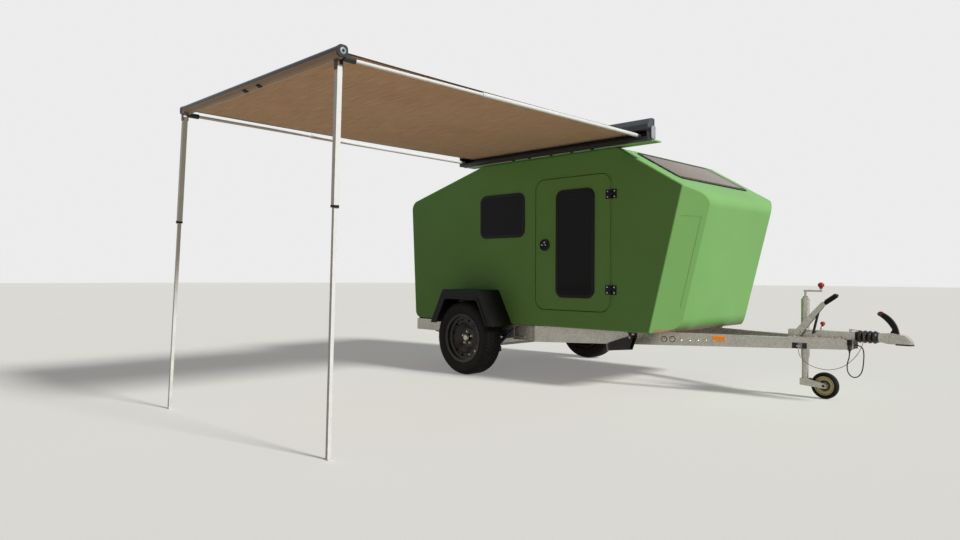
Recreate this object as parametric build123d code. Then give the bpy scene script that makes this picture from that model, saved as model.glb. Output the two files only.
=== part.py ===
from build123d import *
from math import asin, atan2, cos, degrees, hypot, radians, sin, tan
import os

# Millimetres. X runs forward to the coupling, Y to the left, Z up from the ground.

# Running gear
axle_x = 40
tyre_diameter = 664
tyre_width = 200
tyre_side_gap = 42.5
rim_diameter = 406
rim_flange_height = 18
rim_sheet = 6
hub_bore_radius = 30
vent_circle_radius = 162
vent_holes = 12
drum_radius = 115
drum_width = 60
vent_hole_radius = 13

# Cabin moulding, side view
floor_z = 470
roof_z = 1915
body_half_width = 790
wall = 30
rear_bottom_x = -887
rear_waist_x = -957
rear_waist_z = 1636
roof_rear_x = 66
roof_front_x = 1532
nose_waist_x = 2208
nose_waist_z = 1507
nose_bottom_x = 1950
corner_chamfer_x = 129
corner_chamfer_y = 237
corner_radii = [70, 90, 60, 60, 110, 140]
edge_radius = 14
panel_recess = 2

# Doors and windows in the side walls
door_x = (707, 1482)
door_z = (612, 1724)
door_radius = 95
door_gap = 6
door_rim = (11, 3)
door_window_x = (934, 1325)
door_window_z = (720, 1617)
side_window_x = (45, 584)
side_window_z = (1239, 1633)
window_radius = 70
frame_lip = 20
frame_height = 8
frame_wall = 6
pane_thickness = 5
seat_gap = 0.3
door_hinge_z = (793, 1550)
hinge_pin_radius = 7
hinge_offset = 12
hinge_leaf = (50, 73, 6)
lock_from_edge = 107
lock_z = 1164
lock_radius = 50
lock_height = 12

# Rear hatch
hatch_half_width = 520
hatch_z = (700, 1540)
hatch_radius = 80
hatch_hinge_y = 360

# Tail lights, measured in from the cabin's sides
tail_light_inset = (60, 140)
tail_light_z = (540, 690)
tail_light_depth = 40
tail_light_radius = 16

# Roof window on the nose slope, measured down the slope from the roof's front edge
roof_window_half_width = 600
roof_window_span = (50, 520)
roof_window_radius = 60
roof_window_border = 28

# Drawbar and chassis
rail_top_z = 458
rail_width = 45
rail_plate = 5
rail_rear_x = 617
rail_rear_inset = 97
rail_front = (3022, 57)
rail_rear_bottom_z = 317
rail_front_bottom_z = 390
side_rail_rear_x = -880
side_rail_front_x = 450
side_rail_inset = 18
side_rail_width = 50
side_rail_height = 108
cross_member_x = (-855, -330, 330)
cross_member_width = 40
cross_member_height = 60
bracket_plate = 6
bracket_plate_x = (395, 610)
bracket_plate_bottom_z = 330
bracket_window = (26, 14)
pad_inset = 8
side_pad_x = ((-860, -400), (-280, 380))
drawbar_pad_span = (10, 1100)
rail_side_plate_span = (1123, 1240)
rail_side_plate_z = (376, 440)
rail_side_plate_thickness = 6

# Axle
beam_x = 200
beam_z = 302
beam_across = 90
arm_thickness = 24
arm_height = 90
shock_top = (427, 406)
shock_bottom = (282, 284)
shock_radius = 17
shock_eye_radius = 11

# Fender
fender_top_z = 772
fender_bottom_z = 457
fender_half_top = 236
fender_half_bottom = 402
fender_overhang = 17.5
fender_skin = 6
fender_radius = 40
arch_top_z = 684
arch_half_top = 205
arch_half_bottom = 325
arch_bead = (16, 5)

# Overrun unit and coupling
shaft_z = 484
shaft_radius = 21
housing_x = (2564, 3026)
housing_half_width = 38
housing_top_z = 514
foot_plate = 8
lever_bracket_outline = ((32, 0), (216, 0), (204, 40), (76, 34), (40, 26))
bellows_steps = 5
bellows_radii = (33, 45)
head_x = (3174, 3384)
head_half_width = 36
ball_x = 3335
ball_z = 462
ball_socket_radius = 25.2
head_bottom_z = 446
head_outline = ((34, 6), (34, 71), (92, 76), (165, 60), (202, 24), (210, 10), (210, 0), (62, 0))
head_outline_radii = [2, 8, 30, 30, 6, 3, 2, 8]
handle_half_width = 13
lever_pivot = (2634, 474)
lever_top = (2827, 716)
lever_width = (54, 30)
lever_depth = 26
grip_tip = (2914, 772)
grip_radius = 13

# Jockey wheel
jockey_x = 2650
jockey_y = 72
jockey_tube_radius = 30
jockey_tube_z = (300, 746)
jockey_stem_radius = 24
jockey_wheel_diameter = 196
jockey_wheel_width = 54
jockey_trail = 142
crank_z = 800
crank_reach = 112
crank_knob_radius = 20
clamp_knob_radius = 15

# Corner steadies
steady_length = 400
steady_pivot_z = 430
steady_droop = 13
steady_width = 36
steady_pivot_depth = 90
steady_tip_depth = 54
steady_inset = 50
front_steady_x = 1655
rear_steady_x = cross_member_x[0] + 90
rear_steady_inset = 150
steady_tip_gap = 38

# Awning
case_x = (-121, 1880)
case_stand_off = 25
case_depth = 96
case_lift = 10
case_height = 153
case_opening = (12, 62)
case_skin = 4
case_cap = (58, 95, 10)
case_end_plate = (2, 8)
mounting_rail_reach = 60
roller_radius = 24
bar_x = (-11, 1802)
bar_from_wall = 2736
bar_above_roof = 66
bar_size = 54
leg_size = (27, 28)
leg_plane = 19
leg_wall = 4
leg_pivot_drop = 36
leg_joint_z = 1240
leg_overlap = 80
cheek = 3
arm_step_share = 0.64
arm_radii = (14, 10)
arm_knuckle_length = 60
cloth_thickness = 2
cloth_inset = 20

# Cables
electric_cable_diameter = 8
breakaway_cable_diameter = 4
breakaway_tab_x = 2684
eyelet_height = 22


def block(x, y, z):
    """Box between the two values given on each axis."""
    centre = (sum(x) / 2, sum(y) / 2, sum(z) / 2)
    return Pos(*centre) * Box(abs(x[1] - x[0]), abs(y[1] - y[0]), abs(z[1] - z[0]))


def around(value, half):
    return (value - half, value + half)


def rod(start, end, radius):
    """Round bar between two points."""
    path = Vector(*end) - Vector(*start)
    plane = Plane(origin=start, z_dir=path)
    return plane * Cylinder(radius, path.length, align=(Align.CENTER, Align.CENTER, Align.MIN))


def other_side(shape):
    return mirror(shape, about=Plane.XZ)


def same_side(shape):
    return shape


def both_sides(shape):
    return shape + other_side(shape)


def side_view(*points, radius=0):
    """Face in the side view through (x, z) points."""
    if radius:
        return Plane.XZ * make_face(FilletPolyline(*points, radius=radius, close=True))
    return Plane.XZ * make_face(Polyline(*points, close=True))


def side_prism(outline, out_near, out_far):
    """Side view face, filled between two distances to the right of the centre plane."""
    return extrude(Pos(0, -out_near, 0) * outline, out_far - out_near)


def end_prism(face_points, x0, x1, radius=0):
    """Face of (distance to the right, z) points seen from the front, filled along X."""
    points = [(-out, z) for out, z in face_points]
    if radius:
        edge = FilletPolyline(*points, radius=radius, close=True)
    else:
        edge = Polyline(*points, close=True)
    return Pos(x0, 0, 0) * extrude(Plane.YZ * make_face(edge), x1 - x0, dir=(1, 0, 0))


def window_outline(x, z, radius, grow=0):
    """Rounded rectangle in the side view, grown outwards all round."""
    outline = RectangleRounded(x[1] - x[0] + 2 * grow, z[1] - z[0] + 2 * grow, radius + grow)
    return Plane.XZ * Pos(sum(x) / 2, sum(z) / 2) * outline


# Cabin
nose_slope = (nose_waist_x - nose_bottom_x) / (nose_waist_z - floor_z)
profile = side_view(
    (rear_bottom_x, floor_z),
    (rear_waist_x, rear_waist_z),
    (roof_rear_x, roof_z),
    (roof_front_x, roof_z),
    (nose_waist_x, nose_waist_z),
    (nose_bottom_x, floor_z),
    radius=corner_radii,
)
beyond = 400


def corner_wedges(inset):
    """Slanted prisms cut from both front corners, grown inwards by the wall."""
    depth = corner_chamfer_x * corner_chamfer_y / hypot(corner_chamfer_x, corner_chamfer_y)
    grow = (depth + inset) / depth
    start_x = nose_bottom_x - beyond * nose_slope
    run = corner_chamfer_x * grow
    corner = Polyline(
        (start_x - run, body_half_width),
        (start_x + beyond, body_half_width - corner_chamfer_y * grow * (1 + beyond / run)),
        (start_x + beyond, body_half_width + beyond),
        (start_x - run, body_half_width + beyond),
        close=True,
    )
    start = Pos(0, 0, floor_z - beyond) * make_face(corner)
    height = roof_z - floor_z + 2 * beyond
    return both_sides(extrude(start, hypot(height, height * nose_slope), dir=(nose_slope, 0, 1)))


def on_side(edge):
    return abs(abs(edge.center().Y) - body_half_width) < seat_gap and edge.bounding_box().size.Y < seat_gap


def on_corner_panel(face):
    return face.geom_type == GeomType.PLANE and 0.2 < abs(face.normal_at().Y) < 0.95


cabin_outer = extrude(profile, body_half_width, both=True) - corner_wedges(0)
soft_edges = [edge for edge in cabin_outer.edges() if on_side(edge)]
for panel in cabin_outer.faces().filter_by(on_corner_panel):
    soft_edges += [edge for edge in panel.edges() if not on_side(edge)]
cabin_outer = fillet(soft_edges, edge_radius)

# Shallow sunk field on each slanted corner panel
panel_along = Vector(corner_chamfer_x, corner_chamfer_y, 0)
panel_up = Vector(nose_slope, 0, 1)
panel_normal = panel_up.cross(panel_along).normalized()
panel_height = nose_waist_z - floor_z
panel_middle = Vector(nose_bottom_x - corner_chamfer_x / 2, -body_half_width + corner_chamfer_y / 2, floor_z)
panel_middle += panel_up * (panel_height * 0.52)
field_corners = [
    panel_middle + panel_along * (across * 0.32) + panel_up * (up * panel_height * 0.33)
    for across, up in ((-1, -1), (1, -1), (1, 1), (-1, 1))
]
field = make_face(Polyline(*field_corners, close=True))
field_recess = extrude(field, panel_recess, both=True, dir=panel_normal)

cabin_inner = extrude(offset(profile, -wall), body_half_width - wall, both=True) - corner_wedges(wall)
cabin = cabin_outer - cabin_inner - both_sides(field_recess)
inner_y = body_half_width - wall
wide = (rear_waist_x - beyond, nose_waist_x + beyond)
tall = (floor_z - beyond, roof_z + beyond)
side_wall = cabin & block(wide, (-body_half_width - beyond, -inner_y), tall)
shell_walls = cabin & block(wide, (-inner_y, inner_y), tall)
floor_zone = block(wide, (-inner_y, inner_y), (floor_z - beyond, floor_z + wall))

past = 5
through = (inner_y - past, body_half_width + past)
door_leaf = side_wall & side_prism(window_outline(door_x, door_z, door_radius, -door_gap), *through)
door_leaf -= side_prism(window_outline(door_window_x, door_window_z, window_radius, -frame_lip), *through)
side_wall -= side_prism(window_outline(door_x, door_z, door_radius), *through)
side_wall -= side_prism(window_outline(side_window_x, side_window_z, window_radius, -frame_lip), *through)


def window_frame(x, z, radius):
    """Ring with a lip outside the wall and a sleeve through it."""
    outer_face = body_half_width + frame_height
    lip = side_prism(window_outline(x, z, radius), body_half_width, outer_face)
    sleeve = side_prism(window_outline(x, z, radius, -frame_lip - seat_gap), inner_y, outer_face)
    opening = window_outline(x, z, radius, -frame_lip - frame_wall)
    hole = side_prism(opening, inner_y - past, outer_face + past)
    return lip + sleeve - hole


def window_pane(x, z, radius):
    face_y = body_half_width + frame_height - 2
    outline = window_outline(x, z, radius, -frame_lip - frame_wall - seat_gap)
    return side_prism(outline, face_y - pane_thickness, face_y)


# Door furniture: lock with its paddle, hinges, and the raised rim round the opening
lock_x = door_x[0] + lock_from_edge
lock_face = body_half_width + lock_height
lock = rod((lock_x, -body_half_width, lock_z), (lock_x, -lock_face, lock_z), lock_radius)
lock = chamfer(lock.edges().sort_by(Axis.Y)[0], lock_height / 4)
lock -= rod((lock_x, -lock_face + 4, lock_z), (lock_x, -lock_face - past, lock_z), lock_radius * 0.72)
paddle_y = (-body_half_width, -lock_face - 6)
lock += block(around(lock_x, lock_radius * 0.6), paddle_y, around(lock_z, lock_radius / 4))
hinge_x = door_x[1] + 2
hinge_y = body_half_width + hinge_offset


def hinge_halves(z):
    """Wall leaf with the end knuckles, and door leaf with the middle knuckle."""
    reach, length, thick = hinge_leaf
    third = length / 3
    face = -body_half_width
    clear = hinge_offset
    wall_half = block((hinge_x + clear, hinge_x + reach), (face, face - thick), around(z, length / 2))
    door_half = block((hinge_x - reach, hinge_x - clear), (face, face - thick), around(z, length / 2))
    web_y = (-hinge_y - hinge_pin_radius / 2, face - 1)
    for middle in (z - third, z, z + third):
        span = around(middle, third / 2 - seat_gap / 2)
        knuckle = rod((hinge_x, -hinge_y, span[0]), (hinge_x, -hinge_y, span[1]), hinge_pin_radius)
        if middle == z:
            door_half += knuckle + block((hinge_x - clear - 1, hinge_x), web_y, span)
        else:
            wall_half += knuckle + block((hinge_x, hinge_x + clear + 1), web_y, span)
    return wall_half, door_half


hinges = [hinge_halves(z) for z in door_hinge_z]
rim_reach, rim_height = door_rim
door_surround = side_prism(window_outline(door_x, door_z, door_radius, rim_reach),
                           body_half_width, body_half_width + rim_height)
door_surround -= side_prism(window_outline(door_x, door_z, door_radius), *through)
for z in door_hinge_z:
    door_surround -= block(around(hinge_x, hinge_leaf[0]), (-body_half_width - past, -inner_y),
                           around(z, hinge_leaf[1] / 2 + 1))

# Rear hatch
hatch_height = hatch_z[1] - hatch_z[0]
hatch_plane = Plane(origin=(rear_waist_x - beyond, 0, sum(hatch_z) / 2), x_dir=(0, -1, 0), z_dir=(1, 0, 0))


def hatch_prism(grow):
    outline = RectangleRounded(2 * (hatch_half_width + grow), hatch_height + 2 * grow, hatch_radius + grow)
    return extrude(hatch_plane * outline, 2 * beyond)


hatch = shell_walls & hatch_prism(-door_gap) & block((wide[0], 0), (-inner_y, inner_y), tall)
shell_walls -= hatch_prism(0) & block((wide[0], 0), (-inner_y, inner_y), tall)
rear_lean = (rear_bottom_x - rear_waist_x) / (rear_waist_z - floor_z)
hatch_hinge_z = hatch_z[1] + hinge_offset
hatch_hinge_x = rear_waist_x + (rear_waist_z - hatch_hinge_z) * rear_lean - hinge_offset
hatch_pin_radius = 5
strap_half = 15
hatch_lugs = Part()
for y in (-hatch_hinge_y, hatch_hinge_y):
    hx = hatch_hinge_x
    hz = hatch_hinge_z
    strap = block((hx - 8, hx + 40), around(y, strap_half), (hz - 60, hz + 8)) - cabin_outer
    strap -= rod((hx, y - 20, hz), (hx, y + 20, hz), hatch_pin_radius + seat_gap)
    strap -= block((hx + 5, hx + 60), around(y, 20), (hz - 8, hz + 20))
    hatch += strap
    lugs = block((hx - 8, hx + 60), around(y, 26), (hz - 8, hz + 50))
    lugs -= block((hx - 20, hx + 80), around(y, strap_half + 1), (hz - 20, hz + 14))
    lugs += rod((hx, y - 26, hz), (hx, y + 26, hz), hatch_pin_radius)
    hatch_lugs += lugs - cabin_outer

# Tail lights on the rear wall
light_x = (rear_bottom_x - tail_light_depth, rear_bottom_x)
light_y = [inset - body_half_width for inset in tail_light_inset]
tail_light = fillet(block(light_x, light_y, tail_light_z).edges().filter_by(Axis.X), tail_light_radius)
tail_lights = both_sides(tail_light - cabin_outer)

# Roof window
slope = Vector(nose_waist_x - roof_front_x, 0, nose_waist_z - roof_z).normalized()
slope_normal = Vector(-slope.Z, 0, slope.X)
window_length = roof_window_span[1] - roof_window_span[0]
window_centre = Vector(roof_front_x, 0, roof_z) + slope * (sum(roof_window_span) / 2)
roof_plane = Plane(origin=window_centre, x_dir=(0, 1, 0), z_dir=slope_normal)


def roof_window_prism(grow, low, high):
    width = 2 * (roof_window_half_width + grow)
    outline = RectangleRounded(width, window_length + 2 * grow, roof_window_radius + grow)
    return extrude(Pos(*(slope_normal * low)) * (roof_plane * outline), high - low, dir=slope_normal)


roof_frame = roof_window_prism(0, 0, frame_height)
roof_frame += roof_window_prism(-roof_window_border - seat_gap, -wall, frame_height)
roof_frame -= roof_window_prism(-roof_window_border - frame_wall, -wall - past, frame_height + past)
roof_pane = roof_window_prism(-roof_window_border - frame_wall - seat_gap, 0, frame_height - 2)
shell_walls -= roof_window_prism(-roof_window_border, -wall - past, past)
cabin_floor = shell_walls & floor_zone
cabin_shell = shell_walls - floor_zone

# Drawbar: two channels that taper in height and run together at the front
rail_rear = (rail_rear_x, body_half_width - rail_rear_inset)
rail_slope = (rail_rear[1] - rail_front[1]) / (rail_front[0] - rail_rear[0])
rail_angle = atan2(rail_slope, 1)
rail_length = hypot(rail_rear[1] - rail_front[1], rail_front[0] - rail_rear[0])
rail_overrun = rail_width * tan(rail_angle)


def rail_outer_y(x):
    """Distance of a rail's outer face from the centre plane."""
    return rail_front[1] + (rail_front[0] - x) * rail_slope


def tapered_web(inset, thickness):
    web = side_view(
        (-rail_overrun, rail_rear_bottom_z + inset),
        (rail_length, rail_front_bottom_z + inset),
        (rail_length, rail_top_z - inset),
        (-rail_overrun, rail_top_z - inset),
    )
    return extrude(web, -thickness)


rail_place = Pos(rail_rear[0], -rail_rear[1], 0) * Rot(0, 0, degrees(rail_angle))
rail_bar = tapered_web(0, rail_width) - Pos(0, rail_plate, 0) * tapered_web(rail_plate, rail_width)
rail_bar += block(rail_side_plate_span, (-rail_side_plate_thickness, 0), rail_side_plate_z)
behind_frame = block((rail_rear[0] - beyond, rail_rear[0]), (-2 * beyond, 0), (0, roof_z))
drawbar_right = rail_place * rail_bar - behind_frame

# Chassis frame behind the drawbar
side_rail_out = body_half_width - side_rail_inset
side_rail_in = side_rail_out - side_rail_width
side_rail_bottom_z = rail_top_z - side_rail_height
side_rail_x = (side_rail_rear_x, side_rail_front_x)
side_rail = block(side_rail_x, (-side_rail_out, -side_rail_in), (side_rail_bottom_z, rail_top_z))
side_rail -= block(
    (side_rail_rear_x - past, side_rail_front_x + past),
    (-side_rail_out + rail_plate, -side_rail_in + past),
    (side_rail_bottom_z + rail_plate, rail_top_z - rail_plate),
)
chassis_frame = both_sides(side_rail)
for x in cross_member_x:
    chassis_frame += block(around(x, cross_member_width / 2), (-side_rail_in, side_rail_in),
                           (rail_top_z - cross_member_height, rail_top_z))
plate_in = side_rail_in - bracket_plate
chassis_frame += block((rail_rear[0] - cross_member_width, rail_rear[0]), (-plate_in, plate_in),
                       (bracket_plate_bottom_z, rail_top_z))
pads = Part()
for pad_x in side_pad_x:
    pads += block(pad_x, (-side_rail_out + pad_inset, -side_rail_in - pad_inset), (rail_top_z, floor_z))
drawbar_pad = block(drawbar_pad_span, (pad_inset, rail_width - pad_inset), (rail_top_z, floor_z))
pads += rail_place * drawbar_pad

# Pierced plates that join the side rails to the drawbar
axle_plate = block(bracket_plate_x, (-side_rail_in, -plate_in), (bracket_plate_bottom_z, rail_top_z))
plate_length = bracket_plate_x[1] - bracket_plate_x[0]
for step in range(4):
    window_x = bracket_plate_x[0] + plate_length * (step + 0.5) / 4
    axle_plate -= block(around(window_x, bracket_window[0] / 2), (-side_rail_in - past, -plate_in + past),
                        around(bracket_plate_bottom_z + 25, bracket_window[1] / 2))

# Axle beam, trailing arms with drums, shock absorbers
axle_z = tyre_diameter / 2
half_track = body_half_width + tyre_side_gap + tyre_width / 2
arm_inner_y = body_half_width - 12
beam_place = Plane.XZ * Pos(beam_x, beam_z) * Rot(0, 0, 22.5)
octagon = beam_place * RegularPolygon(beam_across / 2, 8, major_radius=False)
axle_beam = extrude(octagon, arm_inner_y, both=True)
beam_seat = block(around(beam_x, 60), (-side_rail_out + 10, -side_rail_in + 6), (beam_z, side_rail_bottom_z))
beam_seat -= axle_beam
arm_length = hypot(beam_x - axle_x, beam_z - axle_z)
arm_tilt = degrees(atan2(beam_z - axle_z, beam_x - axle_x))
arm_place = Plane.XZ * Pos((beam_x + axle_x) / 2, (beam_z + axle_z) / 2) * Rot(0, 0, arm_tilt)
arm_outer_y = arm_inner_y + arm_thickness
axle_arm = side_prism(arm_place * SlotCenterToCenter(arm_length, arm_height), arm_inner_y, arm_outer_y)
drum_end_y = arm_outer_y + drum_width
axle_arm += rod((axle_x, -arm_outer_y, axle_z), (axle_x, -drum_end_y, axle_z), drum_radius)
axle_arm += rod((axle_x, -drum_end_y, axle_z), (axle_x, -half_track - 34, axle_z), hub_bore_radius - seat_gap)
shock_y = body_half_width
foot_outline = side_view(
    (beam_x - 10, beam_z - arm_height / 2 - 42),
    (shock_bottom[0] + 18, beam_z - arm_height / 2 - 42),
    (shock_bottom[0] + 18, shock_bottom[1] - shock_radius - 6),
    (beam_x + 30, beam_z - 20),
    (beam_x - 10, beam_z - 20),
)
axle_arm += side_prism(foot_outline, arm_inner_y, arm_outer_y)
eye_face = -shock_y - 16


def shock_eye(end, inner_y):
    return rod((end[0], eye_face, end[1]), (end[0], -inner_y, end[1]), shock_eye_radius)




def shock_point(share):
    x = shock_bottom[0] + (shock_top[0] - shock_bottom[0]) * share
    z = shock_bottom[1] + (shock_top[1] - shock_bottom[1]) * share
    return (x, -shock_y - 2, z)


shock = rod(shock_point(0), shock_point(0.55), shock_radius)
shock += rod(shock_point(0.45), shock_point(1), shock_radius - 4)
shock += shock_eye(shock_bottom, arm_inner_y) + shock_eye(shock_top, side_rail_out)
shock -= axle_arm

# Road wheels, drawn as (distance outwards from the wheel's centre plane, radius)
rim_radius = rim_diameter / 2
tyre_radius = tyre_diameter / 2
bead = rim_radius + seat_gap
half_tread = tyre_width / 2


def turned_wheel(face):
    turned = revolve(face, Axis.X)
    return Pos(axle_x, -half_track, axle_z) * Rot(0, 0, -90) * turned


bead_out = half_tread - 18
tyre_half = [
    (half_tread - 42, tyre_radius), (half_tread - 16, tyre_radius - 10), (half_tread - 3, tyre_radius - 34),
    (half_tread, bead + 60), (bead_out + 5, bead + 20), (bead_out, bead), (bead_out - 20, bead),
    (half_tread - 14, bead + 50), (half_tread - 40, tyre_radius - 20),
]
tyre_face = make_face(Polyline(*tyre_half, *[(-x, radius) for x, radius in reversed(tyre_half)], close=True))
flange_radius = rim_radius + rim_flange_height
rim_half_width = bead_out + 10
well = rim_radius - 26
well_inside = well - rim_sheet
rim_inside = rim_radius - rim_sheet
barrel_line = [
    (-rim_half_width, flange_radius), (-rim_half_width + 10, rim_radius), (-50, rim_radius), (-30, well),
    (10, well), (30, rim_radius), (rim_half_width - 10, rim_radius), (rim_half_width - 4, flange_radius),
    (rim_half_width, flange_radius), (rim_half_width - 5, rim_inside), (32, rim_inside), (12, well_inside),
    (-32, well_inside), (-52, rim_inside), (-rim_half_width + 6, rim_inside),
    (-rim_half_width - 4, flange_radius),
]
disc_line = [
    (14, hub_bore_radius), (14, 88), (46, 122), (54, 130), (46, 142), (44, 178), (56, rim_inside + 1),
]
disc_back = [(offset_y - rim_sheet, radius) for offset_y, radius in reversed(disc_line)]
rim_right = turned_wheel(make_face(Polyline(*barrel_line, close=True)))
disc = turned_wheel(make_face(Polyline(*disc_line, *disc_back, close=True)))
for step in range(vent_holes):
    angle = radians((step + 0.5) * 360 / vent_holes)
    hole_x = axle_x + vent_circle_radius * cos(angle)
    hole_z = axle_z + vent_circle_radius * sin(angle)
    disc -= rod((hole_x, -half_track - 20, hole_z), (hole_x, -half_track - 80, hole_z), vent_hole_radius)
rim_right += disc
tyre_right = turned_wheel(tyre_face)

# Fenders
fender_outer_y = half_track + tyre_width / 2 + fender_overhang


def arch_outline(half_top, half_bottom, top, bottom, radius):
    left = axle_x - half_bottom
    right = axle_x + half_bottom
    outline = FilletPolyline(
        (left, bottom), (axle_x - half_top, top), (axle_x + half_top, top), (right, bottom), radius=radius,
    )
    return Plane.XZ * make_face([outline, Line((right, bottom), (left, bottom))])


def arch_opening(grow, bottom):
    halves = (arch_half_top + grow, arch_half_bottom + grow)
    return arch_outline(*halves, arch_top_z + grow, bottom, fender_radius + grow)


fender = side_prism(
    arch_outline(fender_half_top, fender_half_bottom, fender_top_z, fender_bottom_z, fender_radius),
    body_half_width, fender_outer_y,
)
bead_width, bead_height = arch_bead
arch_face = arch_opening(bead_width, fender_bottom_z)
fender += side_prism(arch_face, fender_outer_y, fender_outer_y + bead_height)
fender -= side_prism(
    arch_outline(fender_half_top - fender_skin, fender_half_bottom - fender_skin, fender_top_z - fender_skin,
                 fender_bottom_z - 1, fender_radius - fender_skin),
    body_half_width - 1, fender_outer_y - fender_skin,
)
fender -= side_prism(arch_opening(0, fender_bottom_z - 1), fender_outer_y - 20, fender_outer_y + 20)

# Overrun unit: housing with ribs, foot plate, lever bracket and front collar
housing_length = housing_x[1] - housing_x[0]
housing = block(housing_x, around(0, housing_half_width), (rail_top_z, housing_top_z))
housing = fillet(housing.edges().filter_by(Axis.X).group_by(Axis.Z)[-1], 14)
foot_x = (housing_x[0] + 40, housing_x[1] - 60)
foot_half = [rail_outer_y(x) - 10 for x in foot_x]
foot_corners = [(foot_x[0], -foot_half[0]), (foot_x[1], -foot_half[1])]
foot_corners += [(x, -y) for x, y in reversed(foot_corners)]
foot_face = Polyline(*foot_corners, close=True)
housing += extrude(Pos(0, 0, rail_top_z) * make_face(foot_face), foot_plate)
foot_top_z = rail_top_z + foot_plate
rib_top_z = housing_top_z - 16
for x in (housing_x[0] + 170, housing_x[0] + 320):
    rib = end_prism(
        [(housing_half_width - 1, foot_top_z), (housing_half_width + 20, foot_top_z),
         (housing_half_width - 1, rib_top_z)], x, x + 6)
    band = block((x - 40, x - 34), around(0, housing_half_width + 2), (foot_top_z, rib_top_z))
    housing += rib + band
collar = rod((housing_x[1] - 18, 0, shaft_z), (housing_x[1], 0, shaft_z), bellows_radii[0] + 2)
collar -= block((housing_x[0], housing_x[1] + past), around(0, beyond), (0, rail_top_z))
bracket_y = housing_half_width + 6
bracket_corners = [(housing_x[0] + x, foot_top_z + z) for x, z in lever_bracket_outline]
lever_bracket = side_prism(side_view(*bracket_corners), housing_half_width, bracket_y)
housing += collar + lever_bracket
housing -= rod((housing_x[0] - past, 0, shaft_z), (housing_x[1] + past, 0, shaft_z), shaft_radius + seat_gap)
tube_hole_radius = jockey_tube_radius + 0.5
housing -= rod((jockey_x, jockey_y, rail_top_z - past), (jockey_x, jockey_y, housing_top_z), tube_hole_radius)

# Bellows
bellows_pitch = (head_x[0] - housing_x[1]) / bellows_steps
fold_low, fold_high = bellows_radii
bellows_line = [(housing_x[1], shaft_radius + seat_gap)]
for step in range(bellows_steps):
    x = housing_x[1] + step * bellows_pitch
    for share, radius in ((0, fold_low), (0.3, fold_high), (0.6, fold_high), (0.9, fold_low)):
        bellows_line.append((x + bellows_pitch * share, radius))
bellows_line += [(head_x[0], fold_low), (head_x[0], shaft_radius + seat_gap)]
bellows = Pos(0, 0, shaft_z) * revolve(make_face(Polyline(*bellows_line, close=True)), Axis.X)

# Coupling head on the drawtube


def from_head(x, z):
    return (head_x[0] + x, head_bottom_z + z)


head_side = side_view(*[from_head(x, z) for x, z in head_outline], radius=head_outline_radii)
head = side_prism(head_side, -head_half_width, head_half_width)
nose_centre = head_x[1] - head_half_width
head_plan = make_hull(
    (Pos(nose_centre, 0) * Circle(head_half_width)).edges()
    + (Pos(head_x[0] + 50, 0) * Rectangle(60, 2 * head_half_width)).edges()
)
head &= Pos(0, 0, head_bottom_z - past) * extrude(head_plan, 2 * head_half_width + 20)
head += rod((head_x[0], 0, shaft_z), (head_x[0] + 60, 0, shaft_z), fold_low)
head -= Pos(ball_x, 0, ball_z) * Sphere(ball_socket_radius)
head -= rod((ball_x, 0, ball_z), (ball_x, 0, head_bottom_z - 20), ball_socket_radius)
shaft = rod((housing_x[0] + 20, 0, shaft_z), (head_x[0] + 30, 0, shaft_z), shaft_radius)
head += shaft
handle_edge = [
    Line(from_head(69, 73), from_head(122, 68)),
    ThreePointArc(from_head(122, 68), from_head(84, 164), from_head(22, 214)),
    ThreePointArc(from_head(22, 214), from_head(-6, 214), from_head(-8, 196)),
    ThreePointArc(from_head(-8, 196), from_head(50, 146), from_head(82, 99)),
    Line(from_head(82, 99), from_head(69, 73)),
]
handle = extrude(Plane.XZ * make_face(handle_edge), handle_half_width, both=True) - head

# Handbrake lever: a channel open to the front, its grip and its spring strut
lever_path = Vector(lever_top[0] - lever_pivot[0], lever_top[1] - lever_pivot[1])
lever_along = lever_path.normalized()
lever_across = Vector(lever_along.Y, -lever_along.X)


def on_lever(share, across):
    """Point of the side view at a share of the lever's length and a distance to its front."""
    point = Vector(*lever_pivot) + lever_path * share + lever_across * across
    return (point.X, point.Y)


low_half, high_half = (width / 2 for width in lever_width)
lever_outline = side_view(
    on_lever(0.02, -low_half), on_lever(0.02, low_half), on_lever(0.32, low_half - 4), on_lever(1, high_half),
    on_lever(1, -high_half), on_lever(0.3, -low_half), radius=[10, 10, 30, 6, 6, 30],
)
lever_near = bracket_y
lever_far = bracket_y + lever_depth
lever = side_prism(lever_outline, lever_near, lever_far)
pocket = Pos(lever_across.X * 5, 0, lever_across.Y * 5) * lever_outline
lever -= side_prism(pocket, lever_near + 3, lever_far - 3)
pivot_xz = on_lever(0.1, 0)
pin_end_y = -lever_far - 4
lever_pin = rod((pivot_xz[0], -housing_half_width, pivot_xz[1]), (pivot_xz[0], pin_end_y, pivot_xz[1]), 9)
lever += lever_pin - housing
grip_y = -(lever_near + lever_far) / 2
grip_start = Vector(*on_lever(0.93, 0))
lever += rod((grip_start.X, grip_y, grip_start.Y), (grip_tip[0], grip_y, grip_tip[1]), grip_radius)
strut_low = (2752, 494)
strut_high = on_lever(0.78, high_half - 8)
strut = rod((strut_low[0], grip_y, strut_low[1]), (strut_high[0], grip_y, strut_high[1]), 9)
strut += rod((strut_low[0], -bracket_y, strut_low[1]), (strut_low[0], grip_y - 12, strut_low[1]), 6)
strut -= lever

# Jockey wheel: clamp, outer tube with its crank, stem, fork, rim and tyre
jockey_z = jockey_wheel_diameter / 2


def at_jockey(z0, z1, radius):
    return rod((jockey_x, jockey_y, z0), (jockey_x, jockey_y, z1), radius)


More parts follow.
